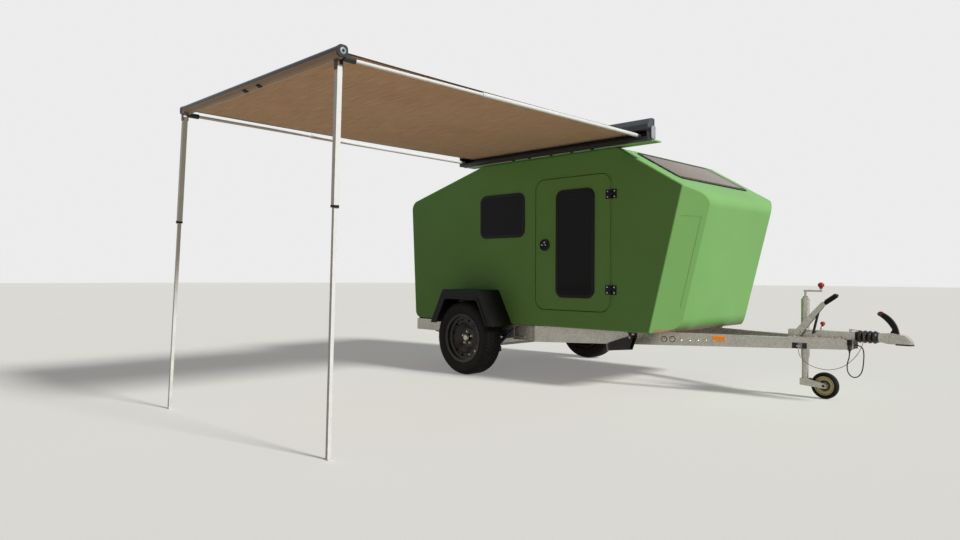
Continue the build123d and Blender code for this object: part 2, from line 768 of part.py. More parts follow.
tube_low, tube_high = jockey_tube_z
jockey_tube = at_jockey(tube_low, tube_high, jockey_tube_radius)
jockey_tube = chamfer(jockey_tube.edges().sort_by(Axis.Z)[-1], 8)
jockey_tube -= at_jockey(tube_low - 1, tube_high - 12, jockey_stem_radius + seat_gap)
jockey_tube += at_jockey(tube_high, crank_z, 8) + at_jockey(tube_high, tube_high + 14, 18)
knob_x = jockey_x + crank_reach
jockey_tube += rod((jockey_x - 12, jockey_y, crank_z), (knob_x + 8, jockey_y, crank_z), 7)
jockey_tube += rod((knob_x, jockey_y, crank_z), (knob_x, jockey_y, crank_z + 44), 6)
jockey_tube += Pos(knob_x, jockey_y, crank_z + 44) * Sphere(crank_knob_radius)
stem_low = jockey_wheel_diameter - 46
stem = at_jockey(stem_low, 540, jockey_stem_radius)
clamp_z = (rail_top_z + foot_plate + 2, housing_top_z - 4)
clamp = at_jockey(*clamp_z, jockey_tube_radius + 8)
clamp += block(around(jockey_x, 26), (housing_half_width, jockey_y), clamp_z)
clamp -= at_jockey(clamp_z[0] - past, clamp_z[1] + past, jockey_tube_radius)
clamp -= block(around(jockey_x, 80), (0, housing_half_width), clamp_z)
clamp_mid = sum(clamp_z) / 2
clamp += rod((jockey_x + 34, jockey_y, clamp_mid), (jockey_x + 110, jockey_y, clamp_mid + 6), 7)
clamp += rod((jockey_x + 104, jockey_y, clamp_mid), (jockey_x + 125, jockey_y, clamp_mid + 70), 6)
clamp += Pos(jockey_x + 125, jockey_y, clamp_mid + 70) * Sphere(clamp_knob_radius)

pin_x = jockey_x + jockey_trail
fork_in = jockey_wheel_width / 2 + 6
fork_plate = 4
fork_out = fork_in + fork_plate
fork_hull = make_hull(
    (Pos(pin_x, jockey_z) * Circle(19)).edges()
    + (Pos(jockey_x - 2, stem_low - 34) * Rectangle(52, 50)).edges()
)
fork_cheek = extrude(Plane.XZ * fork_hull, fork_plate)
fork = at_jockey(stem_low - 34, stem_low - seat_gap, jockey_stem_radius)
fork += block(around(jockey_x - 2, 26), around(jockey_y, fork_out), (stem_low - 14, stem_low - 9))
fork += block((jockey_x - 28, jockey_x - 24), around(jockey_y, fork_out), (stem_low - 59, stem_low - 9))
fork += Pos(0, jockey_y - fork_in, 0) * fork_cheek
fork += Pos(0, jockey_y + fork_out, 0) * fork_cheek
fork += rod((pin_x, jockey_y - fork_out - 6, jockey_z), (pin_x, jockey_y + fork_out + 6, jockey_z), 8)
half_w = jockey_wheel_width / 2
hub_r = 8.3
jockey_rim_line = [
    (half_w - 2, hub_r), (half_w - 2, 20), (8, 24), (8, 40), (16, 46), (16, 56), (6, 62), (half_w - 6, 66),
    (half_w - 6, 70), (0, 66),
]
jockey_rim_face = make_face(Polyline((0, hub_r), *jockey_rim_line, close=True))
jockey_rim_face += mirror(jockey_rim_face, about=Plane.YZ)
jockey_tyre_half = [(half_w - 20, jockey_z), (half_w - 8, jockey_z - 5), (half_w, 82), (half_w - 7, 71)]
jockey_tyre_line = [*jockey_tyre_half, (0, 67), *[(-x, radius) for x, radius in reversed(jockey_tyre_half)]]
jockey_tyre_face = make_face(Polyline(*jockey_tyre_line, close=True))
jockey_place = Pos(pin_x, jockey_y, jockey_z) * Rot(0, 0, -90)
jockey_rim = jockey_place * revolve(jockey_rim_face, Axis.X)
jockey_tyre = jockey_place * revolve(jockey_tyre_face, Axis.X)

# Corner steadies, one row each: pivot x, pivot y, heading in degrees from +X.
# The front ones lie by the rails.
front_steady_y = body_half_width - steady_inset
rear_steady_y = body_half_width - rear_steady_inset
pivot_gap = (front_steady_y - rail_outer_y(front_steady_x)) * cos(rail_angle)
front_heading = 180 + degrees(rail_angle - asin((pivot_gap - steady_tip_gap) / steady_length))
steady_rows = {
    "front_right": (front_steady_x, -front_steady_y, front_heading),
    "front_left": (front_steady_x, front_steady_y, -front_heading),
    "rear_right": (rear_steady_x, -rear_steady_y, 0),
    "rear_left": (rear_steady_x, rear_steady_y, 0),
}
steady_half = steady_width / 2
steady_pin = 6
steady_profile = side_view(
    (-14, 14), (steady_length - 30, 10), (steady_length - 8, 0), (steady_length - 8, -steady_tip_depth),
    (60, -steady_pivot_depth), (-14, -14),
)
steady_leg = extrude(steady_profile, steady_half, both=True)
steady_leg -= block((-20, steady_length - 40), around(0, steady_half - 4), (-steady_pivot_depth - 1, 10))
steady_leg += block((steady_length - 8, steady_length), around(0, steady_half + 8), (-steady_tip_depth, 4))
steady_leg -= rod((0, -steady_half - 2, 0), (0, steady_half + 2, 0), steady_pin + seat_gap)
steady_leg = Pos(0, 0, steady_pivot_z) * Rot(0, steady_droop, 0) * steady_leg
lug_in = steady_half + 4
lug_out = lug_in + 6
steady_bracket = block((-24, 40), around(0, lug_out), (floor_z - 8, floor_z))
lug_top_z = floor_z - 8
lug_low_z = steady_pivot_z - 14
lug_face = side_view((-18, lug_top_z), (24, lug_top_z), (12, lug_low_z), (-12, lug_low_z))
steady_bracket += side_prism(lug_face, lug_in, lug_out) + side_prism(lug_face, -lug_out, -lug_in)
steady_bracket += rod((0, -lug_out, steady_pivot_z), (0, lug_out, steady_pivot_z), steady_pin)
steadies = {}
steady_brackets = Part()
for name, (x, y, heading) in steady_rows.items():
    place = Pos(x, y, 0) * Rot(0, 0, heading)
    steadies["steady_" + name] = place * steady_leg
    steady_brackets += place * steady_bracket

# Awning case, fixed outside the roof's edge
case_back = body_half_width + case_stand_off
case_front = case_back + case_depth
case_low_z = roof_z + case_lift
case_top_z = case_low_z + case_height
case_points = [
    (case_back, case_low_z), (case_back, case_top_z), (case_back + case_depth * 0.6, case_top_z),
    (case_front, case_top_z - 50), (case_front, case_low_z),
]
case_radii = [4, 12, 30, 26, 4]
awning_case = end_prism(case_points, *case_x, radius=case_radii)
hollow_x = (case_x[0] - past, case_x[1] + past)
awning_case -= end_prism(
    [(case_back + case_skin, case_low_z + case_skin), (case_back + case_skin, case_top_z - case_skin),
     (case_back + case_depth * 0.55, case_top_z - case_skin), (case_front - case_skin, case_top_z - 54),
     (case_front - case_skin, case_low_z + case_skin)], *hollow_x, radius=3)
opening_z = (case_low_z + case_opening[0], case_low_z + case_opening[1])
awning_case -= block(hollow_x, (-case_front - past, -case_front + 30), opening_z)
cap_depth, cap_height, cap_thickness = case_cap
plate_near, plate_far = case_end_plate
for start in (case_x[0] + plate_near, case_x[1] - plate_far):
    awning_case += end_prism(case_points, start, start + plate_far - plate_near, radius=case_radii)
cap_top_z = case_low_z + cap_height
cap_points = [
    (case_back, case_low_z), (case_back, cap_top_z), (case_back + cap_depth, cap_top_z),
    (case_back + cap_depth, case_low_z),
]
cap_radii = [4, 10, 26, 10]
case_caps = end_prism(cap_points, case_x[0] - cap_thickness, case_x[0], radius=cap_radii)
case_caps += end_prism(cap_points, case_x[1], case_x[1] + cap_thickness, radius=cap_radii)
rail_back = body_half_width - edge_radius - mounting_rail_reach
awning_case += block(case_x, (-case_front, -rail_back), (roof_z, case_low_z))
roller_out = case_back + case_depth * 0.48
roller_z = opening_z[1] + 12
roller_x = (case_x[0] + plate_far, case_x[1] - plate_far)
awning_roller = rod((roller_x[0], -roller_out, roller_z), (roller_x[1], -roller_out, roller_z), roller_radius)

# Awning cloth, lead bar with its clevises, and telescopic arms
bar_y = body_half_width + bar_from_wall
bar_z = roof_z + bar_above_roof
bar_half = bar_size / 2
bar_face = Plane.YZ * Pos(-bar_y, bar_z) * RectangleRounded(bar_size, bar_size, 18)
lead_bar = Pos(bar_x[0], 0, 0) * extrude(bar_face, bar_x[1] - bar_x[0], dir=(1, 0, 0))
bar_cap = Plane.YZ * Pos(-bar_y, bar_z) * RectangleRounded(bar_size + 4, bar_size + 4, 20)
lead_bar += Pos(bar_x[0] - 6, 0, 0) * extrude(bar_cap, 14, dir=(1, 0, 0))
lead_bar += Pos(bar_x[1] - 8, 0, 0) * extrude(bar_cap, 14, dir=(1, 0, 0))
cloth_near = (roller_out, roller_z - roller_radius - seat_gap)
cloth_far = (bar_y - bar_half - seat_gap, bar_z + 4)
awning_fabric = end_prism(
    [cloth_near, cloth_far, (cloth_far[0], cloth_far[1] - cloth_thickness),
     (cloth_near[0], cloth_near[1] - cloth_thickness)],
    bar_x[0] + cloth_inset, bar_x[1] - cloth_inset)
arm_z = opening_z[0] + 16
arm_rows = ((case_x[1] - 88, bar_x[1] - 22), (case_x[0] + 24, bar_x[0] + 14))
arms = Part()
for case_end_x, bar_end_x in arm_rows:
    start = Vector(case_end_x, -case_front + 40, arm_z)
    end = Vector(bar_end_x, -bar_y + bar_half + seat_gap, arm_z + 2)
    along = (end - start).normalized()
    step_point = start + (end - start) * arm_step_share
    tip = end - along * arm_knuckle_length
    arms += rod(tuple(start), tuple(step_point), arm_radii[0])
    arms += rod(tuple(step_point), tuple(tip), arm_radii[1])
    lead_bar += rod(tuple(tip), (bar_end_x, -bar_y + bar_half - 10, arm_z + 2), arm_radii[0] + 2)

# Legs, one row each: top end on the bar, side of the bar, lean in degrees
pivot_z = bar_z - bar_half - leg_pivot_drop
leg_rows = {
    "rear": (bar_x[0] + 52, -1, 6.5),
    "front": (bar_x[1] - 60, 1, 2.15),
}
legs = {}
half_x = leg_size[0] / 2
half_y = leg_size[1] / 2
pin = 4
for name, (x, side, lean) in leg_rows.items():
    y = -bar_y + side * leg_plane
    place = Pos(x, y, pivot_z) * Rot(0, lean, 0)
    outer = block(around(0, half_x), around(0, half_y), (leg_joint_z - pivot_z, 12))
    bore_x = half_x - leg_wall
    bore_y = half_y - leg_wall
    outer -= block(around(0, bore_x), around(0, bore_y), (leg_joint_z - pivot_z - 1, -20))
    outer -= rod((0, -half_y - 1, 0), (0, half_y + 1, 0), pin + seat_gap)
    legs["awning_leg_" + name] = place * outer
    reach = (pivot_z - 3) / cos(radians(lean))
    inner_top = leg_joint_z - pivot_z + leg_overlap
    inner = place * block(around(0, bore_x - seat_gap), around(0, bore_y - seat_gap), (-reach, inner_top))
    foot_x = x - (pivot_z - 3) * tan(radians(lean))
    legs["awning_leg_foot_" + name] = inner + block(around(foot_x, 20), around(y, half_y), (0, 6))
    clevis_low = pivot_z - 12
    clevis_high = bar_z - bar_half
    lead_bar += block(around(x, half_x), around(y, half_y + 1 + cheek), (clevis_high - 4, clevis_high + 8))
    for direction in (-1, 1):
        y0 = y + direction * (half_y + 1)
        lead_bar += block(around(x, half_x), (y0, y0 + direction * cheek), (clevis_low, clevis_high))
    lead_bar += rod((x, y - half_y - cheek, pivot_z), (x, y + half_y + cheek, pivot_z), pin)

# Cables at the front of the drawbar, with the parked plug in its holder
plug_x = rail_front[0] - 16
plug_y = -rail_outer_y(plug_x) - 20
plug_z = (385, 432)
holder = rod((plug_x, plug_y, plug_z[1] - 6), (plug_x, plug_y, plug_z[1] + 30), 17)
holder_place = Pos(plug_x, -rail_outer_y(plug_x), 0) * Rot(0, 0, degrees(rail_angle))
holder += holder_place * block(around(0, 12), (-20, 0), (plug_z[1] + 4, plug_z[1] + 24))
holder -= rod((plug_x, plug_y, plug_z[1] - 7), (plug_x, plug_y, plug_z[1]), 14.5)
gland_start = (rail_front[0] - 12, -rail_front[1] + rail_plate + 2, 424)
gland_end = (rail_front[0] + 6, gland_start[1], gland_start[2])
cable_gland = rod(gland_start, gland_end, 8)
tab = (breakaway_tab_x, -rail_outer_y(breakaway_tab_x) - 14, 396)
breakaway_tab = block(around(tab[0], 12), (tab[1] - 7, tab[1] + 17), (tab[2], tab[2] + 8))
cable_plug = rod((plug_x, plug_y, plug_z[0]), (plug_x, plug_y, plug_z[1]), 14)
eyelet_z = housing_top_z + eyelet_height
eyelet = block(around(housing_x[1] - 30, 8), (-34, -24), (housing_top_z - 12, eyelet_z))
housing += eyelet


def cable(points, diameter):
    """Tube along straight runs joined by arcs as large as their runs allow."""
    runs = [Vector(*b) - Vector(*a) for a, b in zip(points, points[1:])]
    radii = []
    for before, after in zip(runs, runs[1:]):
        turn = radians(before.get_angle(after))
        radii.append(0.45 * min(before.length, after.length) / tan(turn / 2))
    print("cable radii", [round(radius) for radius in radii])
    path = FilletPolyline(*points, radius=radii)
    section = Plane(origin=points[0], z_dir=runs[0]) * Circle(diameter / 2)
    return sweep(section, path=path)


electric_route = [
    gland_end, (3062, gland_end[1], gland_end[2]), (3086, -52, 405), (3096, -56, 368), (3095, -60, 318),
    (3092, -64, 270), (3081, -67, 233), (3055, -70, 207), (3020, -73, 206), (2992, -76, 229),
    (2984, -78, 267), (2990, -80, 304), (plug_x, plug_y, 342), (plug_x, plug_y, plug_z[0]),
]
breakaway_route = [
    tab, (tab[0], tab[1], 352), (2703, -159, 313), (2736, -155, 281), (2780, -149, 258),
    (2828, -141, 245), (2876, -131, 241), (2922, -120, 249), (2966, -109, 267), (3004, -99, 296),
    (3038, -91, 333), (3066, -84, 377), (3086, -76, 424), (3094, -66, 472), (3086, -50, 512),
    (3050, -29, eyelet_z - 6), (housing_x[1] - 22, -29, eyelet_z - 6),
]
electric_cable = cable(electric_route, electric_cable_diameter)
breakaway_cable = cable(breakaway_route, breakaway_cable_diameter)

# Every piece of the trailer by name
side_frame = window_frame(side_window_x, side_window_z, window_radius)
side_pane = window_pane(side_window_x, side_window_z, window_radius)
door_trim = window_frame(door_window_x, door_window_z, window_radius) + lock + hinges[0][1] + hinges[1][1]
door_pane = window_pane(door_window_x, door_window_z, window_radius)
nodes = {
    "cabin_shell": cabin_shell,
    "cabin_floor": cabin_floor,
    "rear_hatch": hatch,
    "tail_lights": tail_lights,
    "hinge_plates": both_sides(hinges[0][0] + hinges[1][0]) + hatch_lugs,
    "window_frames": both_sides(side_frame) + roof_frame,
    "window_panes": both_sides(side_pane) + roof_pane,
    "door_surrounds": both_sides(door_surround),
    "chassis_frame": chassis_frame,
    "body_pads": both_sides(pads),
    "axle_plates": both_sides(axle_plate + beam_seat),
    "axle_beam": axle_beam,
    "axle_arms": both_sides(axle_arm),
    "shock_absorbers": both_sides(shock),
    "fenders": both_sides(fender),
    "overrun_housing": housing,
    "overrun_bellows": bellows,
    "coupling_head": head,
    "coupling_handle": handle,
    "handbrake_lever": lever,
    "handbrake_strut": strut,
    "jockey_clamp": clamp,
    "jockey_tube": jockey_tube,
    "jockey_stem": stem,
    "jockey_fork": fork,
    "jockey_rim": jockey_rim,
    "jockey_tyre": jockey_tyre,
    "steady_brackets": steady_brackets,
    "awning_case": awning_case,
    "awning_end_caps": case_caps,
    "awning_roller": awning_roller,
    "awning_fabric": awning_fabric,
    "awning_lead_bar": lead_bar,
    "awning_arms": arms,
    "plug_holder": holder,
    "cable_plug": cable_plug,
    "electric_cable": electric_cable,
    "breakaway_cable": breakaway_cable,
}
nodes.update(steadies)
nodes.update(legs)
for side, place in (("right", same_side), ("left", other_side)):
    nodes["side_wall_" + side] = place(side_wall)
    nodes["door_" + side] = place(door_leaf)
    nodes["door_trim_" + side] = place(door_trim)
    nodes["door_pane_" + side] = place(door_pane)
    nodes["rim_" + side] = place(rim_right)
    nodes["tyre_" + side] = place(tyre_right)
nodes["drawbar_right"] = drawbar_right + cable_gland + breakaway_tab
nodes["drawbar_left"] = other_side(drawbar_right)

# The origin is on the ground, below the middle of everything but the cables
cord_nodes = ("cable_plug", "electric_cable", "breakaway_cable")
boxes = [shape.bounding_box() for name, shape in nodes.items() if name not in cord_nodes]
low_x = min(box.min.X for box in boxes)
high_x = max(box.max.X for box in boxes)
low_y = min(box.min.Y for box in boxes)
high_y = max(box.max.Y for box in boxes)
origin = Vector((low_x + high_x) / 2, (low_y + high_y) / 2, 0)

os.makedirs("parts", exist_ok=True)
for name, shape in nodes.items():
    export_step(Pos(*(-origin)) * shape, f"parts/{name}.step")
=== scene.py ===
import bpy
import bmesh
from math import asin, cos, pi, radians, sin
from mathutils import Matrix, Vector


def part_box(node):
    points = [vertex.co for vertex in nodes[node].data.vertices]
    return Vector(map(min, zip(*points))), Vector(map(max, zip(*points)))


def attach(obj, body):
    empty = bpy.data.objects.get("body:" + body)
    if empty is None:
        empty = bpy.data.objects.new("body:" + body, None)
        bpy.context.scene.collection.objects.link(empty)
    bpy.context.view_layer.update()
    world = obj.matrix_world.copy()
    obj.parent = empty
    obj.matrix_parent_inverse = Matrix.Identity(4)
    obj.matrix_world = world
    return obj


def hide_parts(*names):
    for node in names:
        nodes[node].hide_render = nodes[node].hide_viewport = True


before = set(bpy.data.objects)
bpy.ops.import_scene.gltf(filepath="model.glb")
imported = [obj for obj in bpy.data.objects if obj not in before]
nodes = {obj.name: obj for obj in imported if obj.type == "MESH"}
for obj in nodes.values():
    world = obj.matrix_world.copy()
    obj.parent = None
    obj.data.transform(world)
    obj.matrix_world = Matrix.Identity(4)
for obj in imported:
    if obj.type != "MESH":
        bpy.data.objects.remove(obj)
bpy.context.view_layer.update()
scene = bpy.context.scene

# Drawing frame: millimetres, X forward from a point 40 mm behind the axle, Y to the left, Z up
AXLE_X = 40
HALF_TRACK = 932.5
tyre_low, tyre_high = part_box("tyre_right")
wheel_centre = (tyre_low + tyre_high) / 2
AXLE_Z = wheel_centre.z * 1000
DATUM = Vector((wheel_centre.x - AXLE_X / 1000, wheel_centre.y + HALF_TRACK / 1000, 0))
UP = (0, 0, 1)
DOWN = (0, 0, -1)
FORWARD = (1, 0, 0)
BACKWARD = (-1, 0, 0)
LEFT = (0, 1, 0)
RIGHT = (0, -1, 0)
SIDES = (-1, 1)


def at(x, y, z):
    """Point in metres from drawing millimetres."""
    return DATUM + Vector((x, y, z)) / 1000


def drawing_box(node):
    """Low and high corner of a node in drawing millimetres."""
    return [(corner - DATUM) * 1000 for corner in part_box(node)]


def face_frame(x, y, z, out, up=UP):
    """Frame on a face of the drawing: its Z points out of the face, its Y up and its X to the right."""
    out = Vector(out).normalized()
    right = Vector(up).cross(out).normalized()
    turn = Matrix((right, out.cross(right), out)).transposed().to_4x4()
    return Matrix.Translation(at(x, y, z)) @ turn @ Matrix.Scale(0.001, 4)


def side_name(side):
    return "right" if side < 0 else "left"


# The camera of the photograph
PHOTO_WIDTH = 960
CAMERA_PLACE = at(4623.46, -5443.09, 920)
CAMERA_FOCAL_PIXELS = 700.9
CAMERA_YAW = radians(44.6)
CAMERA_PITCH = radians(0.27)
CAMERA_ROLL = radians(0.27)


def add_camera():
    data = bpy.data.cameras.new("photo_camera")
    data.sensor_width = 36
    data.lens = CAMERA_FOCAL_PIXELS / PHOTO_WIDTH * data.sensor_width
    camera = bpy.data.objects.new("photo_camera", data)
    scene.collection.objects.link(camera)
    turn = Matrix.Rotation(CAMERA_YAW, 4, "Z") @ Matrix.Rotation(radians(90) + CAMERA_PITCH, 4, "X")
    camera.matrix_world = Matrix.Translation(CAMERA_PLACE) @ turn @ Matrix.Rotation(CAMERA_ROLL, 4, "Z")
    scene.camera = camera


# Shader helpers
COLOUR = "NodeSocketColor"
NUMBER = "NodeSocketFloat"


def paint(red, green, blue):
    """Linear colour from the 0 to 255 values that a paint card gives."""
    def linear(value):
        share = value / 255
        return share / 12.92 if share <= 0.04045 else ((share + 0.055) / 1.055) ** 2.4
    return (linear(red), linear(green), linear(blue), 1)


def new_group(name, inputs, outputs):
    """Empty shader group: its tree and what its inputs give."""
    tree = bpy.data.node_groups.new(name, "ShaderNodeTree")
    for socket, default in inputs.items():
        kind = NUMBER if isinstance(default, float) else COLOUR
        tree.interface.new_socket(socket, in_out="INPUT", socket_type=kind).default_value = default
    for socket in outputs:
        kind = COLOUR if socket == "Colour" else NUMBER
        tree.interface.new_socket(socket, in_out="OUTPUT", socket_type=kind)
    return tree, tree.nodes.new("NodeGroupInput").outputs


def fill_inputs(tree, node, inputs):
    """Links a socket to each named input, or sets a plain value on it."""
    for name, value in inputs.items():
        if isinstance(value, bpy.types.NodeSocket):
            tree.links.new(value, node.inputs[name])
        else:
            node.inputs[name].default_value = value


def add_node(tree, kind, inputs, **settings):
    node = tree.nodes.new(kind)
    for setting, value in settings.items():
        setattr(node, setting, value)
    fill_inputs(tree, node, inputs)
    return node


def mix_colour(tree, factor, first, second):
    return add_node(tree, "ShaderNodeMix", {0: factor, 6: first, 7: second}, data_type="RGBA").outputs[2]


def calc(tree, operation, first, second, clamp=False):
    inputs = {0: first, 1: second}
    return add_node(tree, "ShaderNodeMath", inputs, operation=operation, use_clamp=clamp).outputs[0]


def contrast(tree, value, start, gain):
    """0 up to the start, then a rise to 1."""
    return calc(tree, "MULTIPLY", calc(tree, "SUBTRACT", value, start), gain, clamp=True)


def object_place(tree):
    return tree.nodes.new("ShaderNodeTexCoord").outputs["Object"]


def noise(tree, place, scale, detail, roughness=0.5):
    inputs = {"Vector": place, "Scale": scale, "Detail": detail, "Roughness": roughness}
    return add_node(tree, "ShaderNodeTexNoise", inputs).outputs["Fac"]


def build_uneven_finish():
    """Paint, plastic or rubber: soft uneven tone, road dust low down and fine grain for the relief."""
    tree, given = new_group("uneven_finish", {
        "Clean": (0.5, 0.5, 0.5, 1), "Worn": (0.4, 0.4, 0.4, 1), "Dust": (0.3, 0.24, 0.18, 1),
        "Dust Amount": 0.2, "Dust Fade": 1.6, "Dust Roughness": 0.3, "Cloud Scale": 3.0, "Grain Scale": 400.0,
        "Wear": 0.3, "Roughness": 0.4, "Roughness Spread": 0.1,
    }, ("Colour", "Roughness", "Height"))
    place = object_place(tree)
    cloud = noise(tree, place, given["Cloud Scale"], 6.0)
    share = calc(tree, "MULTIPLY", cloud, given["Wear"], clamp=True)
    tone = mix_colour(tree, share, given["Clean"], given["Worn"])
    height = add_node(tree, "ShaderNodeSeparateXYZ", {"Vector": place}).outputs["Z"]
    low = calc(tree, "SUBTRACT", 1.0, calc(tree, "MULTIPLY", height, given["Dust Fade"]), clamp=True)
    patches = contrast(tree, noise(tree, place, 11.0, 8.0, 0.7), 0.38, 3.5)
    dusty = calc(tree, "MULTIPLY", calc(tree, "MULTIPLY", low, patches), given["Dust Amount"], clamp=True)
    spread = calc(tree, "MULTIPLY", calc(tree, "SUBTRACT", cloud, 0.5), given["Roughness Spread"])
    rise = calc(tree, "ADD", spread, calc(tree, "MULTIPLY", dusty, given["Dust Roughness"]))
    add_node(tree, "NodeGroupOutput", {
        "Colour": mix_colour(tree, dusty, tone, given["Dust"]),
        "Roughness": calc(tree, "ADD", given["Roughness"], rise, clamp=True),
        "Height": noise(tree, place, given["Grain Scale"], 3.0),
    })
    return tree


def build_zinc_spangle():
    """Hot-dip zinc: flat crystals of slightly different tone, dull runs and a few rust freckles."""
    tree, given = new_group("zinc_spangle", {
        "Bright": (0.6, 0.6, 0.6, 1), "Dull": (0.4, 0.4, 0.4, 1), "Rust": (0.16, 0.07, 0.03, 1),
        "Crystal Scale": 60.0, "Crystal Share": 0.45, "Run Share": 0.55, "Roughness": 0.45,
        "Facet Spread": 0.14,
    }, ("Colour", "Roughness", "Height"))
    place = object_place(tree)
    crystals = add_node(tree, "ShaderNodeTexVoronoi", {"Vector": place, "Scale": given["Crystal Scale"]})
    facet = add_node(tree, "ShaderNodeSeparateColor", {"Color": crystals.outputs["Color"]}).outputs
    crystal_tone = calc(tree, "MULTIPLY", facet[0], given["Crystal Share"])
    run_tone = calc(tree, "MULTIPLY", noise(tree, place, 9.0, 5.0), given["Run Share"])
    share = calc(tree, "ADD", crystal_tone, run_tone)
    freckles = contrast(tree, noise(tree, place, 46.0, 6.0, 0.75), 0.66, 7.0)
    rise = calc(tree, "MULTIPLY", facet[1], given["Facet Spread"])
    bare = mix_colour(tree, share, given["Bright"], given["Dull"])
    add_node(tree, "NodeGroupOutput", {
        "Colour": mix_colour(tree, freckles, bare, given["Rust"]),
        "Roughness": calc(tree, "ADD", given["Roughness"], rise, clamp=True),
        "Height": facet[2],
    })
    return tree


def build_yarn_streaks():
    """Woven cloth: streaks of yarn that run along X, with slow cloudy changes of tone."""
    tree, given = new_group("yarn_streaks", {
        "Light": (0.5, 0.4, 0.3, 1), "Dark": (0.3, 0.2, 0.15, 1), "Across": 260.0, "Along": 9.0,
        "Streak Share": 0.75, "Cloud Share": 0.3,
    }, ("Colour", "Height"))
    place = object_place(tree)
    split = add_node(tree, "ShaderNodeSeparateXYZ", {"Vector": place}).outputs
    drawn = add_node(tree, "ShaderNodeCombineXYZ", {
        "X": calc(tree, "MULTIPLY", split["X"], given["Along"]),
        "Y": calc(tree, "MULTIPLY", split["Y"], given["Across"]),
    })
    streaks = noise(tree, drawn.outputs[0], 1.0, 4.0, 0.7)
    streak_tone = calc(tree, "MULTIPLY", contrast(tree, streaks, 0.4, 4.2), given["Streak Share"])
    cloud_tone = calc(tree, "MULTIPLY", noise(tree, place, 2.2, 3.0), given["Cloud Share"])
    share = calc(tree, "ADD", streak_tone, cloud_tone, clamp=True)
    add_node(tree, "NodeGroupOutput", {
        "Colour": mix_colour(tree, share, given["Dark"], given["Light"]), "Height": streaks,
    })
    return tree


uneven_finish = build_uneven_finish()
zinc_spangle = build_zinc_spangle()
yarn_streaks = build_yarn_streaks()


def new_material(name, group, values, bump=0.05, bump_distance=0.0005, **shader_values):
    """Material whose colour, roughness and relief come from a shared group."""
    material = bpy.data.materials.new(name)
    material.use_nodes = True
    tree = material.node_tree
    look = add_node(tree, "ShaderNodeGroup", {}, node_tree=group)
    fill_inputs(tree, look, values)
    relief = {"Height": look.outputs["Height"], "Strength": bump, "Distance": bump_distance}
    inputs = {socket.replace("_", " "): value for socket, value in shader_values.items()}
    inputs["Base Color"] = look.outputs["Colour"]
    inputs["Normal"] = add_node(tree, "ShaderNodeBump", relief).outputs["Normal"]
    if "Roughness" in look.outputs:
        inputs["Roughness"] = look.outputs["Roughness"]
    fill_inputs(tree, tree.nodes["Principled BSDF"], inputs)
    return material


def finish(clean, worn, wear, roughness, spread=0.1, cloud=3.0, grain=400.0, dust=0.2):
    """Inputs of the uneven finish: two colours, how they mix, the sheen and the scales of the pattern."""
    return {
        "Clean": paint(*clean), "Worn": paint(*worn), "Wear": wear, "Roughness": roughness,
        "Roughness Spread": spread, "Cloud Scale": cloud, "Grain Scale": grain, "Dust Amount": dust,
    }


def coated(name, *look, **shader_values):
    """Material of the uneven finish; its look is what finish takes."""
    return new_material(name, uneven_finish, finish(*look), **shader_values)


def zinced(name, bright, dull, crystals, roughness, metallic):
    values = {
        "Bright": paint(*bright), "Dull": paint(*dull), "Crystal Scale": crystals, "Roughness": roughness,
    }
    return new_material(name, zinc_spangle, values, bump=0.04, Metallic=metallic)


def woven(name, light, dark, across, along, sheen=0.0):
    values = {"Light": paint(*light), "Dark": paint(*dark), "Across": across, "Along": along}
    return new_material(
        name, yarn_streaks, values, bump=0.2, bump_distance=0.0006, Roughness=0.85, Sheen_Weight=sheen,
    )


def add_zone(material, values, *edges):
    """Second finish where a material's surface lies past every edge: (axis, way, drawing millimetres)."""
    tree = material.node_tree
    shader = tree.nodes["Principled BSDF"]
    zone = add_node(tree, "ShaderNodeGroup", {}, node_tree=tree.nodes["Group"].node_tree)
    fill_inputs(tree, zone, values)
    place = add_node(tree, "ShaderNodeSeparateXYZ", {"Vector": object_place(tree)}).outputs
    mask = 1.0
    for axis, way, millimetres in edges:
        edge = DATUM["XYZ".index(axis)] + millimetres / 1000
        operation = "GREATER_THAN" if way > 0 else "LESS_THAN"
        mask = calc(tree, "MULTIPLY", mask, calc(tree, operation, place[axis], edge))
    for socket, shader_input in (("Colour", "Base Color"), ("Roughness", "Roughness")):
        before = shader.inputs[shader_input].links[0].from_socket
        tree.links.new(mix_colour(tree, mask, before, zone.outputs[socket]), shader.inputs[shader_input])


# Materials
GREEN = (130, 184, 112)
DEEP_GREEN = (112, 162, 94)
green_gelcoat = coated(
    "green_gelcoat", GREEN, DEEP_GREEN, 0.8, 0.5, 0.12, 1.6, 240.0, 0.03, bump=0.03, Specular_IOR_Level=0.12,
)
galvanised_steel = zinced("galvanised_steel", (206, 203, 196), (164, 158, 149), 110.0, 0.26, 0.78)
zinc_plated_steel = zinced("zinc_plated_steel", (214, 210, 196), (168, 160, 140), 220.0, 0.3, 0.85)
black_moulding = coated(
    "black_moulding", (18, 18, 19), (28, 28, 28), 0.5, 0.5, 0.15, 5.0, 900.0, 0.1, bump=0.2,
    Specular_IOR_Level=0.18,
)
black_enamel = coated(
    "black_enamel", (18, 18, 19), (38, 36, 34), 0.35, 0.38, 0.2, 9.0, 300.0, bump=0.06,
    Specular_IOR_Level=0.35,
)
slate_enamel = coated(
    "slate_enamel", (52, 60, 76), (40, 46, 60), 0.5, 0.42, 0.12, 5.0, 300.0, bump=0.04, Coat_Weight=0.05,
)
bar_enamel = coated(
    "bar_enamel", (34, 38, 42), (46, 48, 50), 0.4, 0.36, 0.1, 5.0, 300.0, Specular_IOR_Level=0.35,
)
seal_rubber = coated(
    "seal_rubber", (17, 17, 17), (30, 29, 28), 0.5, 0.6, 0.1, 12.0, 700.0, bump=0.12, Specular_IOR_Level=0.35,
)
